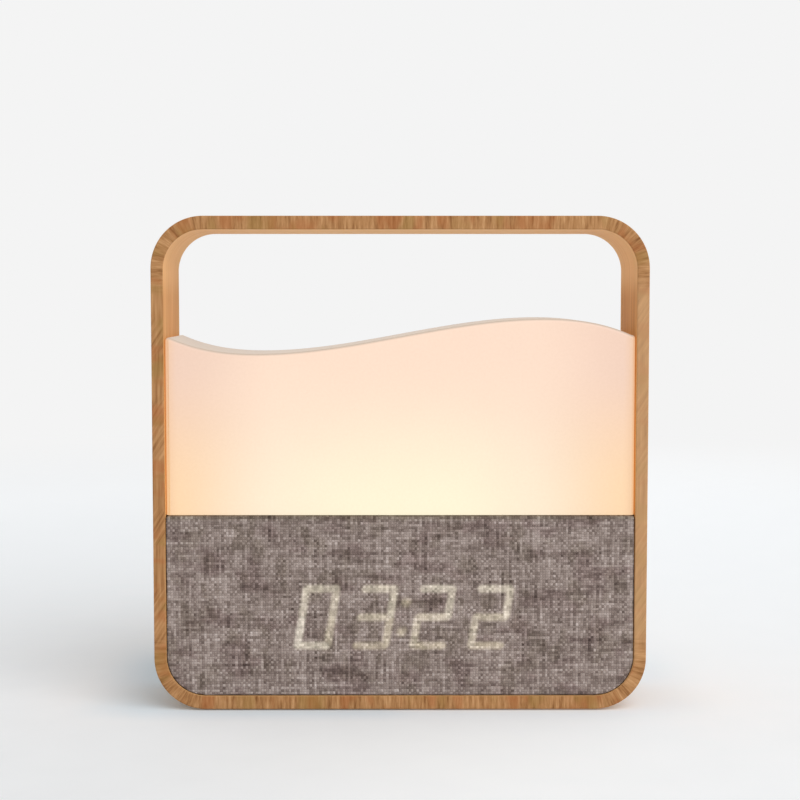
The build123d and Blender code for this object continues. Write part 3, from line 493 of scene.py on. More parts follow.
def plan_hoop():
    """The hoop as a recipe: a rounded path swept by a rounded section, less the feet's recesses."""
    recipe = Recipe(
        "hoop_recipe", Width=hoop_high.x - hoop_low.x, Height=hoop_high.z - hoop_low.z,
        Depth=hoop_high.y - hoop_low.y, Side_wall=SIDE_WALL, Rail_wall=RAIL_WALL,
        Corner_radius=CORNER_RADIUS, Edge_round=EDGE_ROUND, Middle_height=hoop_middle, Corner_steps=28,
        Edge_steps=5, Foot_across=2 * FOOT_PLACES[0], Foot_along=2 * FOOT_PLACES[1],
        Foot_recess=6.1 * MM, Foot_top=feet_high.z, Head_recess=3.1 * MM, Head_top=3.3 * MM,
        Screw_hole=1.7 * MM, Hole_top=7.0 * MM,
    )
    given, sums = recipe.given, recipe.math

    # The path runs down the middle of a wall as thick as the sides.
    across = sums("SUBTRACT", given["Width"], given["Side wall"])
    thicker = sums("SUBTRACT", given["Rail wall"], given["Side wall"])
    up = sums("SUBTRACT", sums("SUBTRACT", given["Height"], given["Rail wall"]), thicker)
    radius = sums("SUBTRACT", given["Corner radius"], sums("MULTIPLY", given["Side wall"], 0.5))
    path = recipe.out("CurvePrimitiveQuadrilateral", {"Width": across, "Height": up})
    inputs = {"Curve": path, "Radius": radius, "Count": given["Corner steps"], "Limit Radius": True}
    path = recipe.out("FilletCurve", inputs, mode="POLY")
    path = recipe.out("SubdivideCurve", {"Curve": path, "Cuts": 1})
    inputs = {"Width": given["Side wall"], "Height": given["Depth"]}
    section = recipe.out("CurvePrimitiveQuadrilateral", inputs)
    inputs = {"Curve": section, "Radius": given["Edge round"], "Count": given["Edge steps"]}
    section = recipe.out("FilletCurve", inputs, mode="POLY")
    hoop = recipe.out("CurveToMesh", {"Curve": path, "Profile Curve": section})

    # The rails are a little thicker: the outside moves out where it faces up or down.
    x, y, _ = recipe.node("SeparateXYZ", {"Vector": recipe.out("InputPosition")}).outputs
    bend_x = sums("SUBTRACT", sums("MULTIPLY", across, 0.5), radius)
    bend_y = sums("SUBTRACT", sums("MULTIPLY", up, 0.5), radius)
    from_x = sums("SUBTRACT", sums("ABSOLUTE", x), bend_x)
    from_y = sums("SUBTRACT", sums("ABSOLUTE", y), bend_y)
    outside_x, outside_y = sums("MAXIMUM", from_x, 0.0), sums("MAXIMUM", from_y, 0.0)
    reach = sums("SQRT", sums("ADD", sums("POWER", outside_x, 2.0), sums("POWER", outside_y, 2.0)))
    inside = sums("MINIMUM", sums("MAXIMUM", from_x, from_y), 0.0)
    beyond = sums("SUBTRACT", sums("ADD", reach, inside), radius)
    share = sums("ADD", sums("DIVIDE", beyond, given["Side wall"]), 0.5, clamp=True)
    lift = sums("MULTIPLY", sums("MULTIPLY", share, thicker), sums("SIGN", y))
    on_rail = sums("GREATER_THAN", from_y, 0.0)
    lift = sums("MULTIPLY", lift, on_rail)
    hoop = recipe.out("SetPosition", {"Geometry": hoop, "Offset": recipe.joined(0.0, lift, 0.0)})
    stand = recipe.joined(0.0, 0.0, given["Middle height"])
    turn = (math.pi / 2, 0.0, 0.0)
    hoop = recipe.out("Transform", {"Geometry": hoop, "Rotation": turn, "Translation": stand})

    # Recesses under the lower rail, for the pads, the screw heads and the screws.
    grid = {"Size X": given["Foot across"], "Size Y": given["Foot along"]}
    places = recipe.out("MeshGrid", {**grid, "Vertices X": 2, "Vertices Y": 2})
    cutters = []
    steps = (("Foot recess", "Foot top"), ("Head recess", "Head top"), ("Screw hole", "Hole top"))
    for size, top in steps:
        tall = sums("MULTIPLY", given[top], 2.0)
        rod = recipe.out("MeshCylinder", {"Vertices": 48, "Radius": given[size], "Depth": tall})
        cutters.append(recipe.out("InstanceOnPoints", {"Points": places, "Instance": rod}))
    for cutter in cutters:
        cutter = recipe.out("RealizeInstances", {"Geometry": cutter})
        inputs = {"Mesh 1": hoop, "Mesh 2": cutter}
        hoop = recipe.out("MeshBoolean", inputs, operation="DIFFERENCE", solver="EXACT")
    hoop = recipe.out("SetShadeSmooth", {"Geometry": hoop})
    return recipe.make("wood_hoop", hoop, bent_oak())


def lay_path_map(piece):
    """A UV map in metres: u is the way round the hoop from the top's middle, v the way out across
    its wall."""
    wall_x = (hoop_high.x - hoop_low.x) / 2 - SIDE_WALL / 2
    wall_z = (hoop_high.z - hoop_low.z) / 2 - RAIL_WALL / 2
    radius = CORNER_RADIUS - SIDE_WALL / 2
    start_x, start_z = wall_x - radius, wall_z - radius
    quarter = start_x + start_z + radius * math.pi / 2
    places = vertices_of(piece)
    x, z = places[:, 0], places[:, 2] - hoop_middle
    past_x, past_z = np.abs(x) - start_x, np.abs(z) - start_z
    turned = np.arctan2(np.maximum(past_x, 0), np.maximum(past_z, 1e-9))
    from_rail = np.where(
        past_x <= 0, np.abs(x), np.where(past_z > 0, start_x + radius * turned, quarter - np.abs(z))
    )
    beyond = np.hypot(np.maximum(past_x, 0), np.maximum(past_z, 0))
    beyond += np.minimum(np.maximum(past_x, past_z), 0) - radius
    mesh = piece.data
    layer = mesh.uv_layers.new(name="path")
    values = np.empty((len(mesh.loops), 2))
    for face in mesh.polygons:
        side = 1 if face.center.x >= 0 else -1
        lower = face.center.z < hoop_middle
        for loop in face.loop_indices:
            vertex = mesh.loops[loop].vertex_index
            way = from_rail[vertex]
            values[loop] = side * (2 * quarter - way if lower else way), beyond[vertex]
    layer.data.foreach_set("uv", values.ravel())


def make_wood_hoop():
    hoop = plan_hoop()
    turn_outwards(hoop)
    lay_path_map(hoop)
    crisp(hoop)
    finished(hoop, HOUSING, "wood", "wood_frame")


# ---- Lamp shade ---------------------------------------------------------------------------------
def glowing_milk_white():
    """Milk-white plastic lit from below: palest over the middle of its foot, warmer to the sides."""
    finish = Finish("glowing_milk_white")
    place = finish.place()
    x, _, z = finish.parts(place)
    side = finish.math("ABSOLUTE", x)
    rise = finish.math("SUBTRACT", z, shade_low.z)
    glow = finish.math("POWER", finish.math("DIVIDE", side, 74 * MM), 2.0)
    glow = finish.math("ADD", glow, finish.math("POWER", finish.math("DIVIDE", rise, 38 * MM), 2.0))
    glow = finish.math("EXPONENT", finish.product(glow, -1.0))
    low = finish.spread(rise, 0.0, 62 * MM, 1.0, 0.0)
    outer = finish.spread(side, 48 * MM, 94 * MM)
    edge = finish.spread(side, 89.5 * MM, 95.5 * MM)

    colour = finish.mix(outer, (0.745, 0.515, 0.382, 1), (0.655, 0.42, 0.31, 1))
    colour = finish.mix(finish.product(low, outer), colour, (0.765, 0.425, 0.165, 1))
    colour = finish.mix(glow, colour, (0.78, 0.71, 0.485, 1))
    # Painted reflection: near the sides the glow is mixed to a deeper orange, standing in for the warm
    # light of the wood beside the shade.
    colour = finish.mix(finish.product(edge, 0.75), colour, (0.655, 0.36, 0.16, 1))
    facing_up = finish.parts(finish.node("TexCoord").outputs["Normal"])[2]
    on_top = finish.spread(facing_up, 0.25, 0.95)
    colour = finish.mix(on_top, colour, (0.38, 0.305, 0.24, 1))
    cloud = finish.spread(finish.noise(place, 30.0, 1.0), 0.3, 0.7, 0.985, 1.015, smooth=False)
    colour = finish.mix(1.0, colour, finish.joined(cloud, cloud, cloud), "MULTIPLY")

    grain = finish.noise(place, 900.0)
    body = finish.ramp(grain, (0.3, (0.215, 0.195, 0.175, 1)), (0.7, (0.235, 0.215, 0.195, 1)))
    normal = finish.bump(grain, 0.01 * MM)
    return finish.surface(
        Base_Color=body, Roughness=0.42, Normal=normal, Emission_Color=colour, Emission_Strength=1.0
    )


def wave(xs):
    """The height of the shade's top, a smooth curve through the knots with its end slopes given."""
    knots, heights = np.array(WAVE_KNOTS) * MM, np.array(WAVE_HEIGHTS) * MM
    steps = np.diff(knots)
    slopes = np.diff(heights) / steps
    count = len(knots)
    sides, wanted = np.eye(count), np.full(count, WAVE_END_SLOPE)
    for i in range(1, count - 1):
        before, after = 1 / steps[i - 1], 1 / steps[i]
        sides[i, i - 1:i + 2] = before, 2 * (before + after), after
        wanted[i] = 3 * (slopes[i - 1] * before + slopes[i] * after)
    slope = np.linalg.solve(sides, wanted)
    index = np.clip(np.searchsorted(knots, xs) - 1, 0, count - 2)
    step = steps[index]
    t = (xs - knots[index]) / step
    rise = (2 * t**3 - 3 * t**2 + 1) * heights[index] + (3 * t**2 - 2 * t**3) * heights[index + 1]
    rise += (t**3 - 2 * t**2 + t) * step * slope[index] + (t**3 - t**2) * step * slope[index + 1]
    return WAVE_MIDDLE + rise


def shade_skin(half_width, half_depth, drop, corner, rounding):
    """One skin of the shade, open below: its vertices and faces, with `drop` taken off the wave."""
    steps = 180
    angles = np.linspace(0, math.pi / 2, 7)[1:]
    xs = np.linspace(-half_width + corner, half_width - corner, steps + 1)
    top = np.column_stack([xs, wave(xs) - drop])
    left = [(-half_width, top[0, 1] - corner)]
    left += [
        (-half_width + corner * (1 - math.cos(a)), top[0, 1] - corner * (1 - math.sin(a)))
        for a in angles
    ]
    right = [
        (half_width - corner * (1 - math.sin(a)), top[-1, 1] - corner * (1 - math.cos(a)))
        for a in angles
    ]
    line = np.array([(-half_width, shade_low.z), *left, *top[1:-1], (top[-1, 0], top[-1, 1]), *right,
                     (half_width, shade_low.z)])
    tangent = np.gradient(line, axis=0)
    tangent[0], tangent[1], tangent[-1], tangent[-2] = (0, 1), (0, 1), (0, -1), (0, -1)
    tangent /= np.linalg.norm(tangent, axis=1)[:, None]
    inward = np.column_stack([tangent[:, 1], -tangent[:, 0]])

    vertices, faces = [], []
    count = len(line)
    rounds = [(rounding * (1 - math.sin(a)), rounding * (1 - math.cos(a))) for a in
              np.linspace(0, math.pi / 2, 8)]
    rings = [(inset, -half_depth + back) for inset, back in rounds]
    rings += [(inset, half_depth - back) for inset, back in reversed(rounds)]
    for inset, y in rings:
        for (x, z), (in_x, in_z) in zip(line, inward):
            vertices.append((x + inset * in_x, y, z + inset * in_z))
    for ring in range(len(rings) - 1):
        for i in range(count - 1):
            a = ring * count + i
            faces.append((a, a + 1, a + 1 + count, a + count))
    rim = [ring * count + count - 1 for ring in range(len(rings))]
    rim_left = [ring * count for ring in range(len(rings))]
    fronts = []
    for start, flip in ((0, False), ((len(rings) - 1) * count, True)):
        bottom = [start]
        for i in range(2, count - 2):
            bottom.append(len(vertices))
            x, y, _ = vertices[start + i]
            vertices.append((x, y, shade_low.z))
        bottom.append(start + count - 1)
        for i in range(len(bottom) - 1):
            quad = (bottom[i], bottom[i + 1], start + i + 2, start + i + 1)
            faces.append(quad[::-1] if flip else quad)
        fronts.append(bottom)
    edge = fronts[0] + rim[1:] + fronts[1][::-1][1:] + rim_left[::-1][1:-1]
    return vertices, faces, edge


def make_shade_shell():
    half_width = (shade_high.x - shade_low.x) / 2
    half_depth = (shade_high.y - shade_low.y) / 2
    outer, outer_faces, outer_edge = shade_skin(half_width, half_depth, 0.0, SHADE_ROUND, SHADE_ROUND)
    inner, inner_faces, inner_edge = shade_skin(
        half_width - SHADE_WALL, half_depth - SHADE_WALL, SHADE_WALL, 0.5 * MM, 0.3 * MM
    )
    shift = len(outer)
    faces = outer_faces + [tuple(i + shift for i in face[::-1]) for face in inner_faces]
    for i in range(len(outer_edge)):
        j = (i + 1) % len(outer_edge)
        faces.append((outer_edge[j], outer_edge[i], inner_edge[i] + shift, inner_edge[j] + shift))
    shell = new_piece("shade_shell", outer + inner, faces)
    turn_outwards(shell)
    give(shell, glowing_milk_white())
    crisp(shell)
    finished(shell, HOUSING, "shade", "lamp_shade")


# ---- Linen front --------------------------------------------------------------------------------
def lit_linen():
    """Melange linen in plain weave: warp and weft threads that vary along their length, lit from
    behind where the digits stand."""
    finish = Finish("lit_linen")
    place = finish.place()
    x, _, z = finish.parts(place)
    sway = finish.noise(finish.stretched(place, (300, 1, 45)), 1.0, 1.0)
    warp = finish.math("MULTIPLY_ADD", sway, 1.1, finish.math("DIVIDE", x, THREAD_PITCH))
    sway = finish.noise(finish.stretched(place, (45, 1, 300)), 1.0, 1.0)
    weft = finish.math("MULTIPLY_ADD", sway, 1.1, finish.math("DIVIDE", z, THREAD_PITCH))
    warp_index, weft_index = finish.math("FLOOR", warp), finish.math("FLOOR", weft)
    over = finish.math("ABSOLUTE", finish.math("ADD", warp_index, weft_index))
    over = finish.math("MODULO", over, 2.0)

    # A thread's tone drifts along its length, and each crossing is a little different.
    warp_place = finish.joined(finish.product(warp_index, 7.31), finish.product(z, 45.0), 0.5)
    weft_place = finish.joined(finish.product(x, 45.0), finish.product(weft_index, 5.87), 3.5)
    warp_tone = finish.noise(warp_place, 1.0, 2.0, 0.55)
    weft_tone = finish.noise(weft_place, 1.0, 2.0, 0.55)
    crossing = finish.node(
        "TexWhiteNoise", {"Vector": finish.joined(warp_index, weft_index, 0.0)}, noise_dimensions="3D"
    ).outputs["Value"]
    thread = finish.mix(over, warp_tone, weft_tone)
    strands = finish.joined(finish.product(warp, 1.7), weft_index, weft)
    strands = finish.noise(strands, 2.2, 2.0, 0.6)
    tone = finish.swayed(0.5, thread, 0.4)
    for by, gain in (
        (warp_tone, 0.27), (weft_tone, 0.27), (crossing, 0.2), (over, 0.035), (strands, 0.32),
    ):
        tone = finish.swayed(tone, by, gain)
    for reach in ((60, 1, 330), (330, 1, 60)):
        slub = finish.noise(finish.stretched(place, reach), 1.0, 1.0)
        tone = finish.swayed(tone, slub, 0.08)
    colour = finish.ramp(
        tone, (0.2, srgb(80, 67, 62)), (0.42, srgb(130, 115, 108)), (0.6, srgb(166, 151, 144)),
        (0.85, srgb(208, 195, 189)),
    )
    for reach, scale, full, most, dye in (
        ((1, 1, 1.6), 70.0, 0.66, 0.5, srgb(122, 110, 118)),
        ((1.5, 1, 1), 95.0, 0.64, 0.4, srgb(120, 124, 110)),
    ):
        hue = finish.noise(finish.stretched(place, reach), scale, 2.0)
        colour = finish.mix(finish.spread(hue, 0.5, full, 0.0, most), colour, dye, "SOFT_LIGHT")

    # Round threads that dive under one another.
    warp_shape = finish.math("SINE", finish.product(finish.math("FRACT", warp), math.pi))
    weft_shape = finish.math("SINE", finish.product(finish.math("FRACT", weft), math.pi))
    crown = finish.product(warp_shape, weft_shape)
    fluff = finish.noise(place, 6000.0, 2.0)
    relief = finish.math("MULTIPLY_ADD", fluff, 0.35, crown)
    normal = finish.bump(relief, 0.14 * MM)
    # Painted shade: the colour is darker where the round threads curve away between crossings.
    painted_thread_shade = finish.spread(crown, 0.0, 0.55, 0.8, 1.03)
    colour = finish.mix(1.0, colour, finish.joined(painted_thread_shade, painted_thread_shade, painted_thread_shade), "MULTIPLY")
    shaded = finish.spread(z, cloth_high.z - 2.4 * MM, cloth_high.z - 0.3 * MM)
    colour = finish.mix(finish.product(shaded, 0.6), colour, srgb(206, 208, 188), "MULTIPLY")

    lit = finish.node("Attribute", attribute_name="digit_light").outputs["Fac"]
    tint = finish.node("Attribute", attribute_name="digit_tint").outputs["Fac"]
    glow = finish.mix(tint, srgb(218, 207, 172), srgb(232, 228, 208))
    seen = finish.spread(tone, 0.2, 0.8, 0.5, 1.15, smooth=False)
    broken = finish.spread(finish.noise(place, 420.0, 1.0), 0.3, 0.7, 0.72, 1.12)
    glow = finish.mix(finish.product(lit, seen, broken), (0, 0, 0, 1), glow)
    return finish.surface(
        Base_Color=colour, Roughness=0.92, Normal=normal, Specular_IOR_Level=0.15,
        Emission_Color=glow, Emission_Strength=0.61,
    )


# The bars of each digit that shines, in the order top, upper right, lower right, bottom,
# lower left, upper left, middle, each with how brightly it does.
DIGITS = (
    (0.88, 0.84, 0.78, 0.92, 1.0, 0.9, 0.0),
    (0.88, 0.88, 0.74, 0.64, 0.0, 0.0, 0.8),
    (0.92, 0.9, 0.0, 0.7, 0.8, 0.0, 0.8),
    (0.9, 0.86, 0.0, 0.68, 0.82, 0.0, 0.78),
)


def digit_bars():
    """The end points of the seven bars of an upright digit, about its middle."""
    x, z = (DIGIT_WIDTH - STROKE) / 2, (DIGIT_HEIGHT - STROKE) / 2
    return (
        ((-x, z), (x, z)), ((x, 0), (x, z)), ((x, -z), (x, 0)), ((-x, -z), (x, -z)),
        ((-x, -z), (-x, 0)), ((-x, 0), (-x, z)), ((-x, 0), (x, 0)),
    )


def light_digits(piece):
    """Writes how brightly each point of the cloth is lit from behind, and how white."""
    places = vertices_of(piece)
    z = places[:, 2] - DIGIT_MIDDLE[1]
    x = places[:, 0] - DIGIT_MIDDLE[0] - DIGIT_SLANT * z
    lit, tint = np.zeros(len(places)), np.zeros(len(places))
    for index, levels in enumerate(DIGITS):
        shift = (index - 1.5) * DIGIT_PITCH
        for (start, end), level in zip(digit_bars(), levels):
            start, end = np.array(start), np.array(end)
            way = end - start
            length = np.linalg.norm(way)
            way = way / length
            from_start = np.column_stack([x - shift - start[0], z - start[1]])
            along = from_start @ way
            off = np.abs(from_start @ np.array([-way[1], way[0]]))
            shorten = 0.45 * MM
            over_end = np.maximum(np.maximum(shorten - along, along - length + shorten), 0)
            reach = np.hypot(off, over_end)
            share = np.clip((STROKE / 2 + 0.8 * MM - reach) / (1.6 * MM), 0, 1)
            light = level * share * share * (3 - 2 * share)
            tint = np.where(light > lit, level, tint)
            lit = np.maximum(lit, light)
    for rise in (-COLON_RISE, COLON_RISE):
        reach = np.hypot(x, z - rise)
        lit = np.maximum(lit, 0.7 * np.clip((2.7 * MM - reach) / (2.0 * MM), 0, 1))
    for name, values in (("digit_light", lit), ("digit_tint", np.clip((tint - 0.7) / 0.3, 0, 1))):
        layer = piece.data.attributes.new(name, "FLOAT", "POINT")
        layer.data.foreach_set("value", values)


def make_linen_front():
    """The cloth as it is stretched over the front panel and round its edges."""
    inset = CLOTH_ROUND
    half = cloth_high.x - inset
    low, high = cloth_low.z + inset, cloth_high.z - inset
    corner = CLOTH_CORNER - inset
    columns, rows = 380, 146
    zs = np.linspace(low, high, rows + 1)
    drop = np.maximum(low + corner - zs, 0)
    halves = np.where(drop > 0, half - corner + np.sqrt(np.maximum(corner**2 - drop**2, 0)), half)
    across = np.linspace(-1, 1, columns + 1)
    xs = across[None, :] * halves[:, None]
    rng = np.random.default_rng(7)
    slack = np.zeros_like(xs)
    for _ in range(14):
        kx, kz, phase = rng.uniform(-220, 220), rng.uniform(-220, 220), rng.uniform(0, 6.28)
        slack += np.sin(kx * xs + kz * zs[:, None] + phase)
    fade = np.clip((half - np.abs(xs)) / (6 * MM), 0, 1) * np.clip((high - zs[:, None]) / (6 * MM), 0, 1)
    fade *= np.clip((zs[:, None] - low) / (6 * MM), 0, 1)
    front = cloth_low.y + np.abs(slack) * fade * 0.012 * MM
    vertices = [(xs[r, c], front[r, c], zs[r]) for r in range(rows + 1) for c in range(columns + 1)]
    width = columns + 1
    faces = [
        (r * width + c, r * width + c + 1, (r + 1) * width + c + 1, (r + 1) * width + c)
        for r in range(rows) for c in range(columns)
    ]

    # Round the border, anticlockwise seen from the front, with the way out at each point.
    border, ways = [], []
    for c in range(width):
        border.append(c)
        ways.append((0, -1))
    for r in range(1, rows + 1):
        border.append(r * width + columns)
        ways.append((math.sqrt(max(corner**2 - drop[r] ** 2, 0)) / corner, -drop[r] / corner))
    for c in range(columns - 1, -1, -1):
        border.append(rows * width + c)
        ways.append((0, 1))
    for r in range(rows - 1, 0, -1):
        border.append(r * width)
        ways.append((-math.sqrt(max(corner**2 - drop[r] ** 2, 0)) / corner, -drop[r] / corner))
    diagonal = math.sqrt(0.5)
    ways[columns + rows], ways[2 * columns + rows] = (diagonal, diagonal), (-diagonal, diagonal)
    rings = [
        (inset * math.sin(a), inset * (1 - math.cos(a))) for a in np.linspace(0, math.pi / 2, 6)[1:]
    ]
    rings += [(inset, inset + 1.0 * MM), (inset, cloth_high.y - cloth_low.y)]
    before = border
    for out, back in rings:
        ring = []
        for index, way in zip(border, ways):
            x, _, z = vertices[index]
            ring.append(len(vertices))
            vertices.append((x + out * way[0], cloth_low.y + back, z + out * way[1]))
        for i in range(len(ring)):
            j = (i + 1) % len(ring)
            faces.append((before[i], ring[i], ring[j], before[j]))
        before = ring
    linen = new_piece("linen_front", vertices, faces)
    light_digits(linen)
    give(linen, lit_linen())
    finished(linen, HOUSING, "cloth", "front_fabric")
    flat = (cloth_high.x - cloth_low.x + 2 * (cloth_high.y - cloth_low.y),
            cloth_high.z - cloth_low.z + 2 * (cloth_high.y - cloth_low.y))
    return linen, flat


def flax_fibre():
    finish = Finish("flax_fibre")
    tone = finish.noise(finish.place(), 400.0)
    colour = finish.ramp(tone, (0.35, srgb(104, 92, 80)), (0.65, srgb(170, 154, 138)))
    return finish.surface(Base_Color=colour, Roughness=0.8)


def make_loose_fibres():
    """Short loose fibres along the top edge of the linen and scattered over its front."""
    recipe = Recipe(
        "fibre_recipe", Left=cloth_low.x + 1 * MM, Right=cloth_high.x - 1 * MM, Edge_height=cloth_high.z,
        Front=cloth_low.y, Low=cloth_low.z + 18 * MM, Edge_count=150, Front_count=70,
        Longest=1.5 * MM, Thickness=0.03 * MM, Seed=11,
    )
    given = recipe.given

    def random(low, high, seed):
        inputs = {2: low, 3: high, "Seed": recipe.math("ADD", given["Seed"], float(seed))}
        return recipe.node("RandomValue", inputs, data_type="FLOAT").outputs[1]

    def turned(x, y, z, seed):
        return recipe.joined(random(-x, x, seed), random(-y, y, seed + 1), random(-z, z, seed + 2))

    def strewn(points, turn, scale):
        inputs = {"Points": points, "Instance": fibre, "Rotation": turn, "Scale": scale}
        return recipe.out("InstanceOnPoints", inputs)

    start = recipe.joined(0.0, 0.0, 0.0)
    middle = recipe.joined(0.0, recipe.math("MULTIPLY", given["Longest"], -0.12),
                           recipe.math("MULTIPLY", given["Longest"], 0.5))
    end = recipe.joined(recipe.math("MULTIPLY", given["Longest"], 0.25), 0.0, given["Longest"])
    inputs = {"Resolution": 4, "Start": start, "Middle": middle, "End": end}
    bow = recipe.out("CurveQuadraticBezier", inputs)
    section = recipe.out("CurvePrimitiveCircle", {"Resolution": 3, "Radius": given["Thickness"]})
    fibre = recipe.out("CurveToMesh", {"Curve": bow, "Profile Curve": section})
    depth = recipe.math("ADD", given["Front"], 0.35 * MM)
    x = random(given["Left"], given["Right"], 1)
    edge_place = recipe.joined(x, depth, recipe.math("SUBTRACT", given["Edge height"], 0.15 * MM))
    edge = recipe.out("Points", {"Count": given["Edge count"], "Position": edge_place})
    edge = strewn(edge, turned(0.5, 1.3, 3.0, 3), random(0.25, 0.75, 7))
    x = random(given["Left"], given["Right"], 21)
    z = random(given["Low"], given["Edge height"], 22)
    front_place = recipe.joined(x, given["Front"], z)
    front = recipe.out("Points", {"Count": given["Front count"], "Position": front_place})
    front = strewn(front, turned(0.06, 0.3, 0.3, 23), random(0.3, 1.0, 27))
    both = recipe.out("JoinGeometry", {"Geometry": [edge, front]})
    fibres = recipe.make("loose_fibres", both, flax_fibre())
    finished(fibres, HOUSING, "cloth")
    return fibres


make_wood_hoop()
make_shade_shell()
linen, cut = make_linen_front()
fibres = make_loose_fibres()


# ---- Finishes of the pieces carried over --------------------------------------------------------
def moulded(name, colour, roughness, spread=0.12, scale=1400.0, relief=0.02):
    """Moulded plastic or rubber with a fine spark-eroded grain."""
    finish = Finish(name)
    place = finish.place()
    grain = finish.noise(place, scale, 3.0)
    cloud = finish.noise(place, 60.0)
    tone = finish.math("MULTIPLY_ADD", grain, 0.6, finish.product(cloud, 0.4))
    ends = (0.35, toned(colour, 1 - spread)), (0.65, toned(colour, 1 + spread))
    normal = finish.bump(grain, relief * MM)
    rough = finish.spread(cloud, 0.3, 0.7, roughness - 0.05, roughness + 0.05)
    return finish.surface(Base_Color=finish.ramp(tone, *ends), Roughness=rough, Normal=normal)


def drawn_metal(name, colour, roughness, stretch=(1, 0.04, 1)):
    """Plated or drawn metal with fine lines along one axis."""
    finish = Finish(name)
    lines = finish.noise(finish.stretched(finish.place(), stretch), 2500.0, 3.0)
    tone = finish.ramp(lines, (0.3, toned(colour, 0.86)), (0.7, toned(colour, 1.1)))
    rough = finish.spread(lines, 0.3, 0.7, roughness - 0.06, roughness + 0.06)
    normal = finish.bump(lines, 0.005 * MM)
    return finish.surface(Base_Color=tone, Roughness=rough, Normal=normal, Metallic=1.0)


def circuit_board(name, mask, trace):
    """Solder mask over faint straight traces, where they show, on a grid of about 4 mm."""
    finish = Finish(name)
    place = finish.place()
    inputs = {"Vector": place, "Scale": 260.0, "Randomness": 0.0}
    cells = finish.node("TexVoronoi", inputs, distance="CHEBYCHEV", feature="F1").outputs["Distance"]
    field = finish.spread(finish.noise(place, 55.0, 0.0), 0.48, 0.52)
    lines = finish.product(finish.spread(cells, 0.4, 0.46), field)
    tone = finish.mix(finish.product(lines, 0.5), mask, trace)
    grain = finish.noise(place, 900.0)
    tone = finish.mix(finish.spread(grain, 0.3, 0.7, 0.0, 0.15), tone, (0.0, 0.0, 0.0, 1))
    normal = finish.bump(lines, 0.03 * MM)
    return finish.surface(Base_Color=tone, Roughness=0.35, Normal=normal)


def light_source(name, colour, strength):
    finish = Finish(name)
    grain = finish.noise(finish.place(), 1200.0)
    tone = finish.ramp(grain, (0.3, toned(colour, 0.85)), (0.7, colour))
    return finish.surface(
        Base_Color=tone, Roughness=0.3, Emission_Color=tone, Emission_Strength=strength
    )


def pressed_paper(name, colour):
    """Pressed paper or dipped cloth: fine fibres, a little longer up and down."""
    finish = Finish(name)
    fibres = finish.noise(finish.stretched(finish.place(), (1, 1, 0.4)), 1800.0, 4.0)
    tone = finish.ramp(fibres, (0.3, toned(colour, 0.7)), (0.7, toned(colour, 1.3)))
    return finish.surface(Base_Color=tone, Roughness=0.85, Normal=finish.bump(fibres, 0.04 * MM))


def dress_nodes():
    """Gives every piece that came from the frame and stays in sight its finish."""
    black = moulded("black_moulding", srgb(52, 52, 54), 0.55)
    satin = moulded("satin_button", srgb(78, 78, 80), 0.42, scale=2200.0, relief=0.01)
    rubber = moulded("foot_rubber", srgb(44, 43, 42), 0.8, scale=900.0, relief=0.05)
    foam = moulded("gasket_foam", srgb(52, 51, 50), 0.95, spread=0.3, scale=700.0, relief=0.15)
    white = moulded("white_moulding", srgb(236, 236, 232), 0.5, spread=0.03)
    film = moulded("frosted_film", srgb(226, 229, 225), 0.7, spread=0.03)
    chip = moulded("chip_black", srgb(38, 38, 40), 0.5, scale=2600.0, relief=0.01)
    wrap = moulded("cell_wrap", srgb(58, 104, 168), 0.3, spread=0.06, scale=300.0, relief=0.01)
    lead = moulded("lead_insulation", srgb(168, 38, 32), 0.45, scale=800.0)
    ribbon = drawn_metal("ribbon_tape", srgb(212, 205, 190), 0.5, (1, 1, 0.04))
    steel = drawn_metal("plated_steel", srgb(205, 205, 207), 0.3)
    screw = drawn_metal("black_zinc", srgb(108, 108, 112), 0.38)
    copper = drawn_metal("wound_copper", srgb(214, 146, 96), 0.32, (0.04, 1, 0.04))
    magnet = moulded("sintered_magnet", srgb(74, 74, 75), 0.6, scale=1800.0, relief=0.03)
    green = circuit_board("green_board", srgb(30, 92, 58), srgb(74, 140, 96))
    pale = circuit_board("white_board", srgb(232, 232, 228), srgb(205, 205, 200))
    lamp = light_source("lamp_light", srgb(255, 226, 176), 2.0)
    digit = light_source("digit_light", srgb(247, 240, 208), 1.5)
    cone = pressed_paper("black_paper", srgb(58, 57, 56))
    spider = pressed_paper("dipped_cloth", srgb(196, 170, 106))
    surround = moulded("surround_rubber", srgb(46, 46, 46), 0.7, scale=1100.0)
    shared = {
        "rubber_feet": rubber, "chassis": black, "front_baffle": black, "rear_cover": black,
        "lamp_board": pale, "lamp_leds": lamp, "lamp_reflector": white, "digit_lightbox": white,
        "display_film": film, "display_board": green, "display_leds": digit,
        "speaker_gaskets": foam, "main_board": green, "board_parts": chip, "usb_c_socket": steel,
        "usb_c_tongue": chip, "battery_cell": wrap, "switch_bodies": chip, "lamp_lead": lead,
        "speaker_leads": lead, "battery_lead": lead, "display_ribbon": ribbon,
        "frame_screws": screw, "case_screws": screw, "panel_screws": screw,
        "board_screws": screw, "display_screws": screw, "lamp_screws": screw,
    }
    starts = {
        "button_": satin, "stem_": chip, "basket_": steel, "top_plate_": steel, "magnet_": magnet,
        "pole_yoke_": steel, "spider_": spider, "voice_coil_": copper, "cone_": cone,
        "dust_cap_": cone, "surround_": surround,
    }
    for name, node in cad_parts.items():
        if name in ("wood_frame", "lamp_shade", "front_fabric"):
            continue
        finish = shared.get(name)
        if finish is None:
            finish = next(value for start, value in starts.items() if name.startswith(start))
        give(node, finish)


dress_nodes()


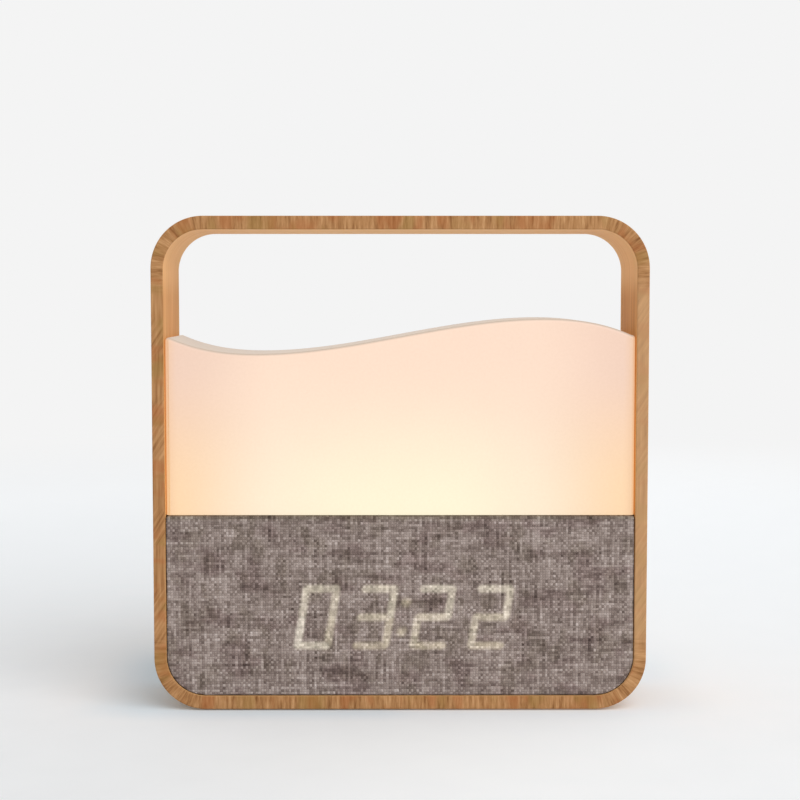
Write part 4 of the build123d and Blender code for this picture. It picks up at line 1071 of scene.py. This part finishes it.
# ---- Marks on the buttons -----------------------------------------------------------------------
# Outlines are in millimetres about the cap's middle.
def bar(x, z, width, height):
    return [(x - width / 2, z - height / 2), (x + width / 2, z - height / 2),
            (x + width / 2, z + height / 2), (x - width / 2, z + height / 2)]


def ring_outline(radius, start=0.0, end=360.0, steps=24):
    angles = np.radians(np.linspace(start, end, steps + 1))
    return [(radius * math.cos(a), radius * math.sin(a)) for a in angles]


def shifted(outline, x, z):
    return [(px + x, pz + z) for px, pz in outline]


MARKS = {
    "set": [ring_outline(2.0)[:-1]],
    "minus": [bar(0, 0, 4.4, 0.9)],
    "plus": [[(-0.45, 0.45), (-2.2, 0.45), (-2.2, -0.45), (-0.45, -0.45), (-0.45, -2.2), (0.45, -2.2),
              (0.45, -0.45), (2.2, -0.45), (2.2, 0.45), (0.45, 0.45), (0.45, 2.2), (-0.45, 2.2)]],
    "alarm": [ring_outline(1.5, 0, 180) + [(-1.5, -0.9), (-2.1, -1.4), (2.1, -1.4), (1.5, -0.9)],
              shifted(ring_outline(0.5, 180, 360, 10), 0, -1.65)],
    "lamp": [shifted(ring_outline(1.6, -50, 230), 0, 0.5), bar(0, -1.35, 1.5, 0.5),
             bar(0, -2.05, 1.1, 0.4)],
}


def make_button_marks():
    """A raised mark on each rear button, standing a fifth of a millimetre off its cap."""
    white = moulded("mark_white", srgb(214, 214, 210), 0.5, spread=0.05)
    for name, outlines in MARKS.items():
        cap_low, cap_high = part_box("button_" + name)
        centre_x, centre_z = (cap_low.x + cap_high.x) / 2, (cap_low.z + cap_high.z) / 2
        work = bmesh.new()
        for outline in outlines:
            base = [
                work.verts.new((centre_x + x * MM, cap_high.y - 0.1 * MM, centre_z + z * MM))
                for x, z in outline
            ]
            face = work.faces.new(base)
            made = bmesh.ops.extrude_face_region(work, geom=[face])["geom"]
            raised = [v for v in made if isinstance(v, bmesh.types.BMVert)]
            bmesh.ops.translate(work, vec=(0, 0.3 * MM, 0), verts=raised)
            tops = [e for e in made if isinstance(e, bmesh.types.BMEdge)]
            bmesh.ops.bevel(work, geom=tops, offset=0.06 * MM, segments=2, affect="EDGES", profile=0.5)
        bmesh.ops.recalc_face_normals(work, faces=work.faces)
        mesh = bpy.data.meshes.new("mark_" + name)
        work.to_mesh(mesh)
        work.free()
        mark = in_scene("mark_" + name, mesh)
        give(mark, white)
        finished(mark, "button_" + name + "_body", "buttons")


make_button_marks()
